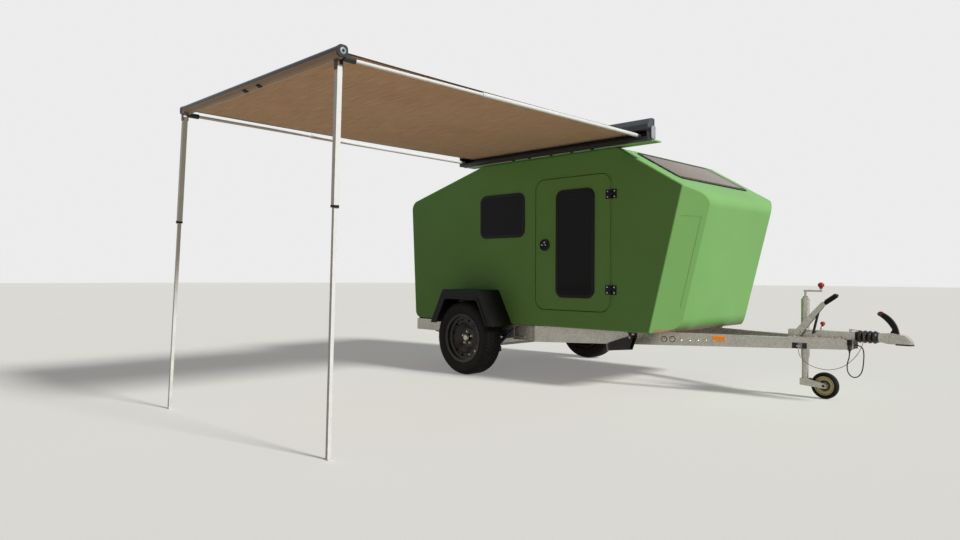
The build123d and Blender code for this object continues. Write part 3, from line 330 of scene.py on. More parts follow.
bellows_rubber = coated("bellows_rubber", (20, 21, 24), (32, 32, 34), 0.5, 0.34, 0.1, 18.0, 500.0, bump=0.06)
tyre_rubber = coated(
    "tyre_rubber", (15, 15, 16), (26, 25, 24), 0.6, 0.72, 0.12, 14.0, 500.0, 0.07, bump=0.2,
    Specular_IOR_Level=0.18,
)
smoked_acrylic = coated(
    "smoked_acrylic", (9, 11, 11), (14, 16, 16), 0.5, 0.06, 0.04, 3.0, 60.0, bump=0.01,
    Transmission_Weight=0.12, IOR=1.49, Specular_IOR_Level=0.07,
)
roof_acrylic = coated(
    "roof_acrylic", (118, 100, 86), (102, 86, 74), 0.6, 0.3, 0.06, 3.0, 60.0, bump=0.01,
    Transmission_Weight=0.1, IOR=1.49, Specular_IOR_Level=0.25,
)
floor_board = coated("floor_board", (168, 146, 112), (132, 108, 78), 0.8, 0.55, 0.1, 20.0, 300.0, bump=0.1)
white_aluminium = coated(
    "white_aluminium", (236, 238, 240), (176, 178, 182), 0.5, 0.32, 0.15, 14.0, 300.0, 0.35, bump=0.03,
    Coat_Weight=0.2,
)
raw_aluminium = coated(
    "raw_aluminium", (186, 190, 192), (140, 144, 146), 0.5, 0.32, 0.15, 8.0, 500.0, Metallic=0.85,
)
grey_moulding = coated(
    "grey_moulding", (158, 166, 174), (128, 134, 140), 0.5, 0.45, 0.1, 8.0, 600.0, bump=0.1,
)
cream_enamel = coated(
    "cream_enamel", (255, 246, 212), (206, 190, 150), 0.4, 0.36, 0.2, 30.0, 300.0, 0.08, bump=0.06,
)
blue_enamel = coated("blue_enamel", (20, 40, 104), (24, 30, 56), 0.6, 0.35, 0.2, 25.0, 300.0)
red_moulding = coated("red_moulding", (198, 34, 50), (148, 28, 36), 0.5, 0.35, 0.1, 20.0, 300.0)
rust_red_moulding = coated("rust_red_moulding", (128, 48, 44), (84, 34, 32), 0.6, 0.4, 0.1, 20.0, 300.0)
# The amber lens glows faintly: painted light that makes the reflector look sunlit
amber_lens_painted_glow = coated(
    "amber_lens_painted_glow", (255, 176, 48), (236, 140, 26), 0.6, 0.15, 0.08, 60.0, 250.0, bump=0.3,
    Emission_Color=paint(255, 150, 20), Emission_Strength=0.22,
)
orange_lens = coated("orange_lens", (244, 124, 26), (214, 92, 16), 0.6, 0.15, 0.08, 60.0, 250.0, bump=0.3)
red_lens = coated("red_lens", (170, 20, 22), (120, 10, 14), 0.6, 0.15, 0.08, 40.0, 250.0, bump=0.3)
clear_lens = coated("clear_lens", (214, 216, 214), (186, 188, 186), 0.5, 0.12, 0.06, 40.0, 250.0, bump=0.3)
cable_jacket = coated("cable_jacket", (22, 22, 23), (48, 44, 40), 0.4, 0.5, 0.15, 40.0, 800.0, bump=0.1)
red_jacket = coated("red_jacket", (140, 62, 54), (88, 48, 42), 0.6, 0.5, 0.15, 40.0, 800.0, bump=0.1)
awning_cloth = woven("awning_cloth", (248, 209, 176), (186, 147, 122), 170.0, 5.0, sheen=0.15)
hem_tape = woven("hem_tape", (120, 98, 82), (84, 68, 58), 900.0, 30.0)

# Second finishes on the awning: the case is painted black below its hood as painted shade of its underside,
# and green under its rail, and the lead bar shows the brown web of its cloth groove between its caps
CASE_X = (-121, 1880)
CASE_LOW_Z = 1925
CASE_HOOD_Z = 1992
CASE_BEAD_Y = -840
BAR_X = (-11, 1802)
BAR_Y = -3526
BAR_Z = 1981
BAR_CAP = 13
WEB_Z = (BAR_Z - 28, BAR_Z - 2)
WEB_Y = BAR_Y + 27
# Black below the hood: painted shade on the case's underside, which is one material with its slate hood
add_zone(slate_enamel, finish((13, 13, 15), (22, 21, 23), 0.4, 0.5, 0.1, 5.0, 300.0), ("Z", -1, CASE_HOOD_Z))
add_zone(slate_enamel, finish(GREEN, DEEP_GREEN, 0.8, 0.5), ("Z", -1, CASE_LOW_Z + 1), ("Y", 1, CASE_BEAD_Y))
add_zone(
    bar_enamel, finish((176, 148, 124), (150, 124, 102), 0.7, 0.5, 0.1, 8.0, 500.0), ("Z", -1, WEB_Z[1]),
    ("Z", 1, WEB_Z[0]), ("Y", -1, WEB_Y), ("X", 1, BAR_X[0] + BAR_CAP), ("X", -1, BAR_X[1] - BAR_CAP),
)

NODE_FINISH = {
    green_gelcoat: (
        "cabin_shell", "side_wall_right", "side_wall_left", "rear_hatch", "door_right", "door_left",
        "door_surrounds",
    ),
    floor_board: ("cabin_floor",),
    galvanised_steel: (
        "chassis_frame", "drawbar_right", "drawbar_left", "axle_plates", "axle_beam", "overrun_housing",
        "coupling_head", "handbrake_lever", "jockey_clamp", "jockey_tube", "jockey_stem", "jockey_fork",
    ),
    black_moulding: (
        "hinge_plates", "window_frames", "door_trim_right", "door_trim_left", "fenders", "coupling_handle",
        "plug_holder",
    ),
    # The awning roller gets black enamel as painted shade: it lies in the shadow of the case's slot
    black_enamel: (
        "axle_arms", "handbrake_strut", "steady_brackets", "awning_roller", "rim_right", "rim_left",
        "steady_front_right", "steady_front_left", "steady_rear_right", "steady_rear_left",
    ),
    slate_enamel: ("awning_case",),
    bar_enamel: ("awning_lead_bar",),
    seal_rubber: ("body_pads", "overrun_bellows"),
    smoked_acrylic: ("window_panes", "door_pane_right", "door_pane_left"),
    tyre_rubber: ("tyre_right", "tyre_left", "jockey_tyre"),
    cream_enamel: ("jockey_rim",),
    blue_enamel: ("shock_absorbers",),
    red_lens: ("tail_lights",),
    grey_moulding: ("awning_end_caps",),
    awning_cloth: ("awning_fabric",),
    white_aluminium: (
        "awning_arms", "awning_leg_front", "awning_leg_rear", "awning_leg_foot_front", "awning_leg_foot_rear",
    ),
    cable_jacket: ("electric_cable", "cable_plug"),
    red_jacket: ("breakaway_cable",),
}


def finish_nodes():
    for material, names in NODE_FINISH.items():
        for name in names:
            slots = nodes[name].material_slots
            if not slots:
                nodes[name].data.materials.append(material)
            for slot in slots:
                slot.material = material


# Mesh helpers: pieces are drawn in millimetres in a face's frame
SMOOTH_ANGLE = radians(38)
BEVEL_ANGLE = radians(30)


def add_piece(name, mesh, material, body):
    """Finished mesh as a piece that moves with a body."""
    piece = bpy.data.objects.new(name, mesh)
    scene.collection.objects.link(piece)
    mesh.materials.append(material)
    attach(piece, body)
    return piece


def smooth_mesh(name, bm):
    """The drawn faces as a mesh, smooth over its gentle edges."""
    mesh = bpy.data.meshes.new(name)
    bm.to_mesh(mesh)
    bm.free()
    mesh.polygons.foreach_set("use_smooth", [True] * len(mesh.polygons))
    mesh.set_sharp_from_angle(angle=SMOOTH_ANGLE)
    return mesh


def closed_mesh(name, bm, place):
    """Mesh of a closed solid with its faces out, moved to its place."""
    bmesh.ops.remove_doubles(bm, verts=bm.verts, dist=0.001)
    bmesh.ops.recalc_face_normals(bm, faces=bm.faces)
    bm.transform(place)
    return smooth_mesh(name, bm)


def join_rings(bm, first, second):
    """Faces between two rings with as many points."""
    for step in range(len(first)):
        after = (step + 1) % len(first)
        bm.faces.new((first[step], first[after], second[after], second[step]))


def turned_mesh(name, profile, place, ring=False, segments=40):
    """Turned solid: (radius, height) points about the frame's Z. A ring's profile closes on itself."""
    if not ring:
        profile = [(0, profile[0][1]), *profile, (0, profile[-1][1])]
    bm = bmesh.new()
    rows = []
    for radius, height in profile:
        angles = [2 * pi * step / segments for step in range(segments if radius else 1)]
        rows.append([bm.verts.new((radius * cos(a), radius * sin(a), height)) for a in angles])
    for low, high in zip(rows, rows[1:] + rows[:1] if ring else rows[1:]):
        for here in range(segments):
            after = here + 1
            corners = [low[here % len(low)], low[after % len(low)]]
            corners += [high[after % len(high)], high[here % len(high)]]
            bm.faces.new(dict.fromkeys(corners))
    return closed_mesh(name, bm, place)


def turned(name, profile, place, material, body="trailer", ring=False, segments=40):
    return add_piece(name, turned_mesh(name, profile, place, ring, segments), material, body)


def slab_mesh(name, outline, low, high, place, edge=0):
    """Plate with its outline in the frame's XY, from low to high along its Z, its edges rounded."""
    bm = bmesh.new()
    under = [bm.verts.new((x, y, low)) for x, y in outline]
    over = [bm.verts.new((x, y, high)) for x, y in outline]
    bm.faces.new(under)
    bm.faces.new(over)
    join_rings(bm, under, over)
    bmesh.ops.recalc_face_normals(bm, faces=bm.faces)
    if edge:
        sharp = [e for e in bm.edges if e.calc_face_angle(0) > BEVEL_ANGLE]
        bmesh.ops.bevel(bm, geom=sharp, offset=edge, segments=2, profile=0.7, affect="EDGES")
    return closed_mesh(name, bm, place)


def slab(name, outline, low, high, place, material, body="trailer", edge=0):
    return add_piece(name, slab_mesh(name, outline, low, high, place, edge), material, body)


def rounded(half_x, half_y, radius, steps=5, middle=(0, 0)):
    """Rectangle with round corners, anticlockwise from its right side."""
    outline = []
    for quarter, (sign_x, sign_y) in enumerate(((1, 1), (-1, 1), (-1, -1), (1, -1))):
        for step in range(steps + 1):
            angle = (quarter + step / steps) * pi / 2
            x = sign_x * (half_x - radius) + radius * cos(angle)
            y = sign_y * (half_y - radius) + radius * sin(angle)
            outline.append((middle[0] + x, middle[1] + y))
    return outline


def spline_curve(name, points, diameter):
    """Cord along one smooth NURBS line through the drawing."""
    curve = bpy.data.curves.new(name, "CURVE")
    curve.dimensions = "3D"
    curve.bevel_depth = diameter / 2000
    curve.bevel_resolution = 4
    curve.resolution_u = 10
    curve.use_fill_caps = True
    spline = curve.splines.new("NURBS")
    spline.points.add(len(points) - 1)
    for point, place in zip(spline.points, points):
        point.co = (*at(*place), 1)
    spline.order_u = 3
    spline.use_endpoint_u = True
    return curve


# Geometry Nodes trees for what repeats
def new_maker(name, inputs):
    """Empty geometry tree with a mesh in and out, named sizes and the finish of what it makes."""
    tree = bpy.data.node_groups.new(name, "GeometryNodeTree")
    tree.interface.new_socket("Mesh", in_out="INPUT", socket_type="NodeSocketGeometry")
    for socket, kind in inputs.items():
        tree.interface.new_socket(socket, in_out="INPUT", socket_type=kind)
    tree.interface.new_socket("Finish", in_out="INPUT", socket_type="NodeSocketMaterial")
    tree.interface.new_socket("Mesh", in_out="OUTPUT", socket_type="NodeSocketGeometry")
    return tree, tree.nodes.new("NodeGroupInput").outputs


def end_maker(tree, given, copies):
    """Makes the copies real, gives them their finish and ends the tree."""
    real = add_node(tree, "GeometryNodeRealizeInstances", {"Geometry": copies.outputs[0]})
    done = add_node(tree, "GeometryNodeSetMaterial", {
        "Geometry": real.outputs[0], "Material": given["Finish"],
    })
    add_node(tree, "NodeGroupOutput", {"Mesh": done.outputs[0]})
    return tree


def build_fastener_heads():
    """A head on a washer at every point, square to the point's facing, each turned its own way."""
    tree, given = new_maker("fastener_heads", {
        "Sides": "NodeSocketInt", "Head Radius": NUMBER, "Head Height": NUMBER, "Crown": NUMBER,
        "Crown Taper": NUMBER, "Washer Radius": NUMBER, "Washer Height": NUMBER,
    })
    washer = add_node(tree, "GeometryNodeMeshCone", {
        "Vertices": 20, "Radius Top": given["Washer Radius"], "Radius Bottom": given["Washer Radius"],
        "Depth": given["Washer Height"],
    })
    crown_height = calc(tree, "MULTIPLY", given["Head Height"], given["Crown"])
    head = add_node(tree, "GeometryNodeMeshCone", {
        "Vertices": given["Sides"], "Radius Top": given["Head Radius"], "Radius Bottom": given["Head Radius"],
        "Depth": calc(tree, "SUBTRACT", given["Head Height"], crown_height),
    })
    crown = add_node(tree, "GeometryNodeMeshCone", {
        "Vertices": given["Sides"], "Radius Bottom": given["Head Radius"], "Depth": crown_height,
        "Radius Top": calc(tree, "MULTIPLY", given["Head Radius"], given["Crown Taper"]),
    })
    head_low = given["Washer Height"]
    crown_low = calc(tree, "ADD", head_low, calc(tree, "SUBTRACT", given["Head Height"], crown_height))
    stack = tree.nodes.new("GeometryNodeJoinGeometry")
    tree.links.new(washer.outputs["Mesh"], stack.inputs[0])
    for part, low in ((head, head_low), (crown, crown_low)):
        lift = add_node(tree, "ShaderNodeCombineXYZ", {"Z": low})
        raised = add_node(tree, "GeometryNodeTransform", {
            "Geometry": part.outputs["Mesh"], "Translation": lift.outputs[0],
        })
        tree.links.new(raised.outputs[0], stack.inputs[0])
    facing = add_node(tree, "GeometryNodeInputNamedAttribute", {"Name": "facing"}, data_type="FLOAT_VECTOR")
    square = add_node(tree, "FunctionNodeAlignRotationToVector", {"Vector": facing.outputs[0]}, axis="Z")
    chance = add_node(tree, "FunctionNodeRandomValue", {3: 2 * pi, "Seed": 7}, data_type="FLOAT")
    spin = add_node(tree, "FunctionNodeAxisAngleToRotation", {"Angle": chance.outputs[1], "Axis": UP})
    turn = add_node(tree, "FunctionNodeRotateRotation", {
        "Rotation": square.outputs[0], "Rotate By": spin.outputs[0],
    }, rotation_space="LOCAL")
    return end_maker(tree, given, add_node(tree, "GeometryNodeInstanceOnPoints", {
        "Points": given["Mesh"], "Instance": stack.outputs[0], "Rotation": turn.outputs[0],
    }))


def build_turned_copies():
    """Copies of the mesh, turned evenly about an axle through a centre."""
    tree, given = new_maker("turned_copies", {
        "Copies": "NodeSocketInt", "Centre": "NodeSocketVector", "Axle": "NodeSocketVector",
    })
    points = add_node(tree, "GeometryNodePoints", {"Count": given["Copies"], "Position": given["Centre"]})
    step = calc(tree, "DIVIDE", 2 * pi, given["Copies"])
    angle = calc(tree, "MULTIPLY", tree.nodes.new("GeometryNodeInputIndex").outputs[0], step)
    turn = add_node(tree, "FunctionNodeAxisAngleToRotation", {"Angle": angle, "Axis": given["Axle"]})
    return end_maker(tree, given, add_node(tree, "GeometryNodeInstanceOnPoints", {
        "Points": points.outputs[0], "Instance": given["Mesh"], "Rotation": turn.outputs[0],
    }))


def build_stepped_copies():
    """Copies of the mesh, each one step further."""
    tree, given = new_maker("stepped_copies", {"Copies": "NodeSocketInt", "Step": "NodeSocketVector"})
    line = add_node(tree, "GeometryNodeMeshLine", {"Count": given["Copies"], "Offset": given["Step"]})
    return end_maker(tree, given, add_node(tree, "GeometryNodeInstanceOnPoints", {
        "Points": line.outputs[0], "Instance": given["Mesh"],
    }))


fastener_heads = build_fastener_heads()
turned_copies = build_turned_copies()
stepped_copies = build_stepped_copies()


def grow(name, mesh, tree, material, body="trailer", **sizes):
    """Piece that a geometry tree makes from a mesh."""
    piece = bpy.data.objects.new(name, mesh)
    scene.collection.objects.link(piece)
    maker = piece.modifiers.new("maker", "NODES")
    maker.node_group = tree
    sockets = {item.name: item.identifier for item in tree.interface.items_tree if item.in_out == "INPUT"}
    for size, value in sizes.items():
        maker[sockets[size.replace("_", " ")]] = value
    maker[sockets["Finish"]] = material
    made = bpy.data.meshes.new_from_object(piece.evaluated_get(bpy.context.evaluated_depsgraph_get()))
    piece.modifiers.remove(maker)
    piece.data = made
    made.name = name
    made.set_sharp_from_angle(angle=SMOOTH_ANGLE)
    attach(piece, body)
    return piece


# The top of a head's crown, as a share of its radius
CROWN_TAPER = 0.78


def head_sizes(sides, radius, height, crown, washer_radius, washer_height):
    """Sizes of a fastener's head in millimetres; its crown is a share of its height."""
    return {
        "Sides": sides, "Head_Radius": radius / 1000, "Head_Height": height / 1000, "Crown": crown,
        "Crown_Taper": CROWN_TAPER,
        "Washer_Radius": washer_radius / 1000, "Washer_Height": washer_height / 1000,
    }


HEX_BOLT = head_sizes(6, 9.5, 8, 0.2, 12, 2.2)
LARGE_BOLT = head_sizes(6, 11, 10, 0.2, 19, 3)
WHEEL_BOLT = head_sizes(6, 11, 16, 0.25, 12.5, 3)
PIN_NUT = head_sizes(6, 10.5, 6, 0.25, 10.8, 0.4)
DOME_SCREW = head_sizes(16, 6.2, 2.8, 0.7, 6.8, 0.6)
CUP_BOLT = head_sizes(20, 13, 5.5, 0.75, 14.2, 1)
BOLT_SEAT = head_sizes(24, 24, 1.2, 0.3, 24.5, 0.5)


def fasteners(name, rows, kind, material, body="trailer"):
    """Heads of one kind; a row gives the drawing's point and the way the head faces."""
    mesh = bpy.data.meshes.new(name)
    mesh.from_pydata([at(*place) for place, facing in rows], [], [])
    facing_data = mesh.attributes.new("facing", "FLOAT_VECTOR", "POINT")
    facing_data.data.foreach_set("vector", [part for place, facing in rows for part in facing])
    return grow(name, mesh, fastener_heads, material, body, **kind)


# Cords
def free_cord(node, route, diameter, material):
    """Cord in place of its CAD tube, along the same route."""
    cord = bpy.data.objects.new(node + "_line", spline_curve(node, route, diameter))
    scene.collection.objects.link(cord)
    cord.data.materials.append(material)
    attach(cord, "trailer")
    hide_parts(node)


PLUG_X = 3006
PLUG_Y = -81.23
PLUG_LOW_Z = 385
GLAND = (3028, -50, 424)
EYELET = (3004, -29, 530)
BREAKAWAY_TAB = (2684, -160.38, 396)
ELECTRIC_ROUTE = [
    GLAND, (3060, -50, 424), (3084, -52, 406), (3092, -56, 368), (3091, -60, 318), (3088, -64, 270),
    (3078, -67, 229), (3052, -70, 199), (3020, -73, 199), (2994, -76, 227), (2988, -78, 267),
    (2993, -80, 304), (PLUG_X, PLUG_Y, 342), (PLUG_X, PLUG_Y, PLUG_LOW_Z),
]
BREAKAWAY_ROUTE = [
    BREAKAWAY_TAB, (2684, -160.38, 352), (2703, -159, 313), (2736, -155, 281), (2780, -149, 258),
    (2828, -141, 245), (2876, -131, 241), (2922, -120, 249), (2966, -109, 267), (3004, -99, 296),
    (3038, -91, 333), (3066, -84, 377), (3086, -76, 424), (3094, -66, 472), (3086, -50, 512),
    (3050, -29, 530), EYELET,
]
RELIEF_PROFILE = [(8.5, 0), (8.5, 4), (7, 6), (7, 11), (5.6, 13), (5.6, 18), (4.8, 20), (4.6, 26)]
PLUG_PROFILE = [
    (5.2, -18), (5.8, -10), (7.5, -2), (12.2, 4), (13.6, 8), (13.6, 14), (12.6, 16), (12.6, 19), (13.8, 21),
    (13.8, 24), (12.6, 26), (12.6, 29), (14, 31), (14, 47),
]
CRIMP_PROFILE = [(3.2, 2), (3.8, 3), (3.8, 16), (3.2, 18), (2.4, 26)]


def add_cords():
    relief = turned("cable_relief", RELIEF_PROFILE, face_frame(*GLAND, FORWARD), seal_rubber, segments=24)
    plug_frame = face_frame(PLUG_X, PLUG_Y, PLUG_LOW_Z, UP, FORWARD)
    plug = turned("cable_plug_body", PLUG_PROFILE, plug_frame, cable_jacket, segments=32)
    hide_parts("cable_plug")
    free_cord("electric_cable", ELECTRIC_ROUTE, 8, cable_jacket)
    for end, place, out in (("rear", BREAKAWAY_TAB, DOWN), ("front", EYELET, FORWARD)):
        name = "breakaway_crimp_" + end
        crimp_frame = face_frame(*place, out, LEFT)
        turned(name, CRIMP_PROFILE, crimp_frame, raw_aluminium, segments=20)
    free_cord("breakaway_cable", BREAKAWAY_ROUTE, 4, red_jacket)


# Awning cloth
CLOTH_X = (9, 1782)
CLOTH_NEAR = (-861, 1974)
CLOTH_FAR = (-3498.7, 1984)
CLOTH_SAG = 12
EDGE_SAG_SHARE = 0.55
LONG_FOLD = 0.9
LONG_FOLD_TURN = 23
LONG_FOLD_PHASE = 1.7
BAR_FOLD = 0.7
BAR_FOLD_TURN = 51
BAR_FOLD_START = 0.8
CLOTH_THICKNESS = 1.2
CLOTH_COLUMNS = 36
CLOTH_ROWS = 60
HEM_WIDTH = 16
HEM_LIFT = 0.7


def cloth_height(across, along):
    """Sag of the stretched cloth, deepest in its middle, with faint folds that run out from the bar."""
    hollow = 4 * along * (1 - along) * (EDGE_SAG_SHARE + (1 - EDGE_SAG_SHARE) * sin(pi * across))
    folds = LONG_FOLD * sin(across * LONG_FOLD_TURN + LONG_FOLD_PHASE) * along * (1 - along)
    folds += BAR_FOLD * sin(across * BAR_FOLD_TURN) * max(0, along - BAR_FOLD_START)
    return CLOTH_NEAR[1] + (CLOTH_FAR[1] - CLOTH_NEAR[1]) * along - CLOTH_SAG * hollow + folds


def cloth_strip(name, columns, span_x, lift, material):
    """Thin closed sheet between two X values of the awning, lifted off its middle by lift."""
    bm = bmesh.new()
    layers = []
    for side in SIDES:
        grid = []
        for row in range(CLOTH_ROWS + 1):
            along = row / CLOTH_ROWS
            y = CLOTH_NEAR[0] + (CLOTH_FAR[0] - CLOTH_NEAR[0]) * along
            for column in range(columns + 1):
                x = span_x[0] + (span_x[1] - span_x[0]) * column / columns
                across = (x - CLOTH_X[0]) / (CLOTH_X[1] - CLOTH_X[0])
                z = cloth_height(across, along) + side * (CLOTH_THICKNESS / 2 + lift)
                grid.append(bm.verts.new(at(x, y, z)))
        layers.append(grid)
    wide = columns + 1
    for grid in layers:
        for row in range(CLOTH_ROWS):
            for column in range(columns):
                corner = row * wide + column
                bm.faces.new([grid[corner + step] for step in (0, 1, wide + 1, wide)])
    last = CLOTH_ROWS * wide
    rim = [*range(wide), *range(2 * wide - 1, last + wide, wide)]
    rim += [*range(last + wide - 2, last - 1, -1), *range(last - wide, 0, -wide)]
    join_rings(bm, *([grid[point] for point in rim] for grid in layers))
    bmesh.ops.recalc_face_normals(bm, faces=bm.faces)
    return add_piece(name, smooth_mesh(name, bm), material, "trailer")


def add_cloth():
    cloth = cloth_strip("awning_cloth_sheet", CLOTH_COLUMNS, CLOTH_X, 0, awning_cloth)
    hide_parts("awning_fabric")
    rear_hem = (CLOTH_X[0], CLOTH_X[0] + HEM_WIDTH)
    front_hem = (CLOTH_X[1] - HEM_WIDTH, CLOTH_X[1])
    hems = [
        cloth_strip("cloth_hem_rear", 1, rear_hem, HEM_LIFT, hem_tape),
        cloth_strip("cloth_hem_front", 1, front_hem, HEM_LIFT, hem_tape),
    ]


# Fittings of the awning
def both_ends(span, past):
    """Name, X and way out of the two ends of a span, moved out past them."""
    return (("rear", span[0] - past, BACKWARD), ("front", span[1] + past, FORWARD))


RAIL_DEPTH = 10
BEAD_HALF = 5
CASE_CLIP_X = (499, 684, 922, 1135, 1340)
CASE_CAP = 10
CASE_BEARING_INSET = 2
CASE_CAP_SCREWS = ((-828, 1938), (-860, 1938), (-828, 2008))
CASE_BEARING = (-892, 1990)
BEARING_PROFILE = [(17, 0), (17, 2.5), (15, 4), (9, 4), (8, 2), (4, 2), (3, 5)]
BAR_DISC_PROFILE = [(17, -1), (17, 0.8), (15.5, 2), (9, 2.6), (8, 1.6), (5, 1.6), (4, 2.6)]
BAR_CAP_FACE = 6
BAR_BEAD = (14, -23)
BAR_BEAD_END = 14
BAR_BEAD_OUT = (0, 0.5, -0.87)
HOOK_X = (858, 1018)
HOOK_REACH = 26.5
HOOK_OUT = Vector((0, -0.45, -0.9)).normalized()
LEG_ROWS = (("rear", 41, -1, radians(6.5)), ("front", 1742, 1, radians(2.15)))
LEG_OFFSET = 19
LEG_PIVOT_Z = 1918
LEG_JOINT_Z = 1240
LEG_HALF = 16
COLLAR_HALF = (16.6, 16.2)
LEG_LEVER_LIFT = 6


def add_case_trim():
    """Bead and clips under the mounting rail, and the screws and bearings of the end caps."""
    rail_z = CASE_LOW_Z - RAIL_DEPTH
    bead = face_frame(sum(CASE_X) / 2, CASE_BEAD_Y, rail_z, DOWN, LEFT)
    half = (CASE_X[1] - CASE_X[0]) / 2 - 1
    slab("case_rail_bead", rounded(half, BEAD_HALF, 2, 3), -0.5, 5, bead, white_aluminium)
    for number, x in enumerate(CASE_CLIP_X, 1):
        clip = face_frame(x, CASE_BEAD_Y - 2, rail_z, DOWN, LEFT)
        slab(f"case_rail_clip_{number}", rounded(14, 9, 3), -0.5, 6, clip, black_moulding, edge=1)
    screws = []
    for end, x, out in both_ends(CASE_X, CASE_CAP):
        screws += [((x, y, z), out) for y, z in CASE_CAP_SCREWS]
    fasteners("case_cap_screws", screws, DOME_SCREW, raw_aluminium)
    for end, x, out in both_ends(CASE_X, -CASE_BEARING_INSET):
        bearing = face_frame(x, *CASE_BEARING, out)
        turned("case_bearing_" + end, BEARING_PROFILE, bearing, black_moulding, segments=32)


def add_bar_fittings():
    """Discs and bosses on the lead bar's caps, the bead of its cloth groove and the hooks under it."""
    for end, x, out in both_ends(BAR_X, BAR_CAP_FACE):
        cap = face_frame(x, BAR_Y, BAR_Z, out)
        turned("bar_cap_centre_" + end, BAR_DISC_PROFILE, cap, grey_moulding, segments=32)
        turned("bar_cap_boss_" + end, [(6.5, 0.5), (6.5, 3.4), (5.5, 4.2)], cap, black_moulding, segments=24)
    bead = face_frame(sum(BAR_X) / 2, BAR_Y + BAR_BEAD[0], BAR_Z + BAR_BEAD[1], BAR_BEAD_OUT, LEFT)
    half = (BAR_X[1] - BAR_X[0]) / 2 - BAR_BEAD_END
    slab("bar_cloth_bead", rounded(half, BEAD_HALF, 2, 3), -2, 4, bead, white_aluminium)
    for number, x in enumerate(HOOK_X, 1):
        clip = face_frame(*(Vector((x, BAR_Y, BAR_Z)) + HOOK_OUT * HOOK_REACH), HOOK_OUT, LEFT)
        slab(f"bar_hook_clip_{number}", rounded(19, 12, 5), -1, 7, clip, black_moulding, edge=2)
        tongue = rounded(9, 7, 3, middle=(4, -10))
        slab(f"bar_hook_tongue_{number}", tongue, 3, 10, clip, black_moulding, edge=2)


def add_leg_clamps():
    """Clamp collar with its lever at the lower end of each leg's outer tube."""
    for name, x, side, lean in LEG_ROWS:
        tube = Vector((-sin(lean), 0, -cos(lean)))
        body = "awning_leg_" + name
        pivot = Vector((x, BAR_Y + side * LEG_OFFSET, LEG_PIVOT_Z))
        low = pivot + tube * (LEG_PIVOT_Z - LEG_JOINT_Z + 1)
        collar = face_frame(*low, -tube, LEFT)
        outline = rounded(*COLLAR_HALF, 4)
        slab("leg_collar_" + name, outline, -2, 10, collar, black_moulding, body, edge=1.5)
        face = low - tube * LEG_LEVER_LIFT + Vector((0, side * LEG_HALF, 0))
        lever = face_frame(*face, (0, side, 0), -tube)
        blade = rounded(5, 9, 3, middle=(0, -2))
        slab("leg_lever_" + name, blade, 0, 5, lever, black_moulding, body, edge=1.2)


# Road wheels
TYRE_PROFILE = [
    (0, 322.5), (58, 322.5), (66, 321), (80, 314), (90, 304), (96.5, 294), (98, 290), (98, 287), (99.5, 285),
    (99.5, 281), (98.4, 279), (99.9, 268), (99.4, 258), (96.4, 246), (94, 240), (95, 237.5), (93.6, 234),
    (90, 228), (87, 223.6), (84, 211), (82, 203.6), (62, 203.6), (66, 222), (84, 252), (84, 275), (76, 300),
    (60, 311), (0, 313),
]
TREAD_TOP = 332
TREAD_FOOT = 320
TREAD_BLOCKS_Y = ((-56, -31), (-26, -3), (3, 26), (31, 56))
SHOULDER_BLOCK = ((61, 331), (76, 326.5), (88, 317), (97, 299), (92, 297), (78, 312), (61, 319))
TREAD_PITCHES = 60
TREAD_GROOVE = radians(0.9)
TREAD_SKEW = radians(0.022)
WHEEL_BOLTS = 5
WHEEL_BOLT_CIRCLE = 56
WHEEL_BOLT_FACE = 14
HUB_CAP_FACE = 34
HUB_CAP_PROFILE = [(27, -1), (28.5, 1), (28.5, 4), (26.5, 6), (25.5, 14), (22, 17.5), (12, 18.5)]
VALVE_PLACE = (130, 52, 134)
VALVE_PROFILE = [(7, 0), (6.5, 6), (4.4, 9), (4.4, 24), (5, 25), (5, 33), (4, 34)]


def tread_outlines():
    """Cross sections of the tread's rows of blocks, as (across the tyre, radius) points."""
    for first, last in TREAD_BLOCKS_Y:
        yield ((first, TREAD_TOP), (last, TREAD_TOP), (last, TREAD_FOOT), (first, TREAD_FOOT))
    for side in (1, -1):
        yield [(side * y, radius) for y, radius in SHOULDER_BLOCK]


def tread_pitch(name):
    """One pitch of the tread about the axle: a block in each row, every other row half a pitch on."""
    bm = bmesh.new()
    pitch = 2 * pi / TREAD_PITCHES
    for number, outline in enumerate(tread_outlines()):
        start = pitch / 2 * (number % 2)
        rings = []
        for angle in (start, start + pitch - TREAD_GROOVE):
            ring = []
            for y, radius in outline:
                turn = angle + TREAD_SKEW * y
                ring.append(bm.verts.new((radius * sin(turn), y, radius * cos(turn))))
            rings.append(ring)
            bm.faces.new(ring)
        join_rings(bm, *rings)
    return closed_mesh(name, bm, Matrix.Scale(0.001, 4))


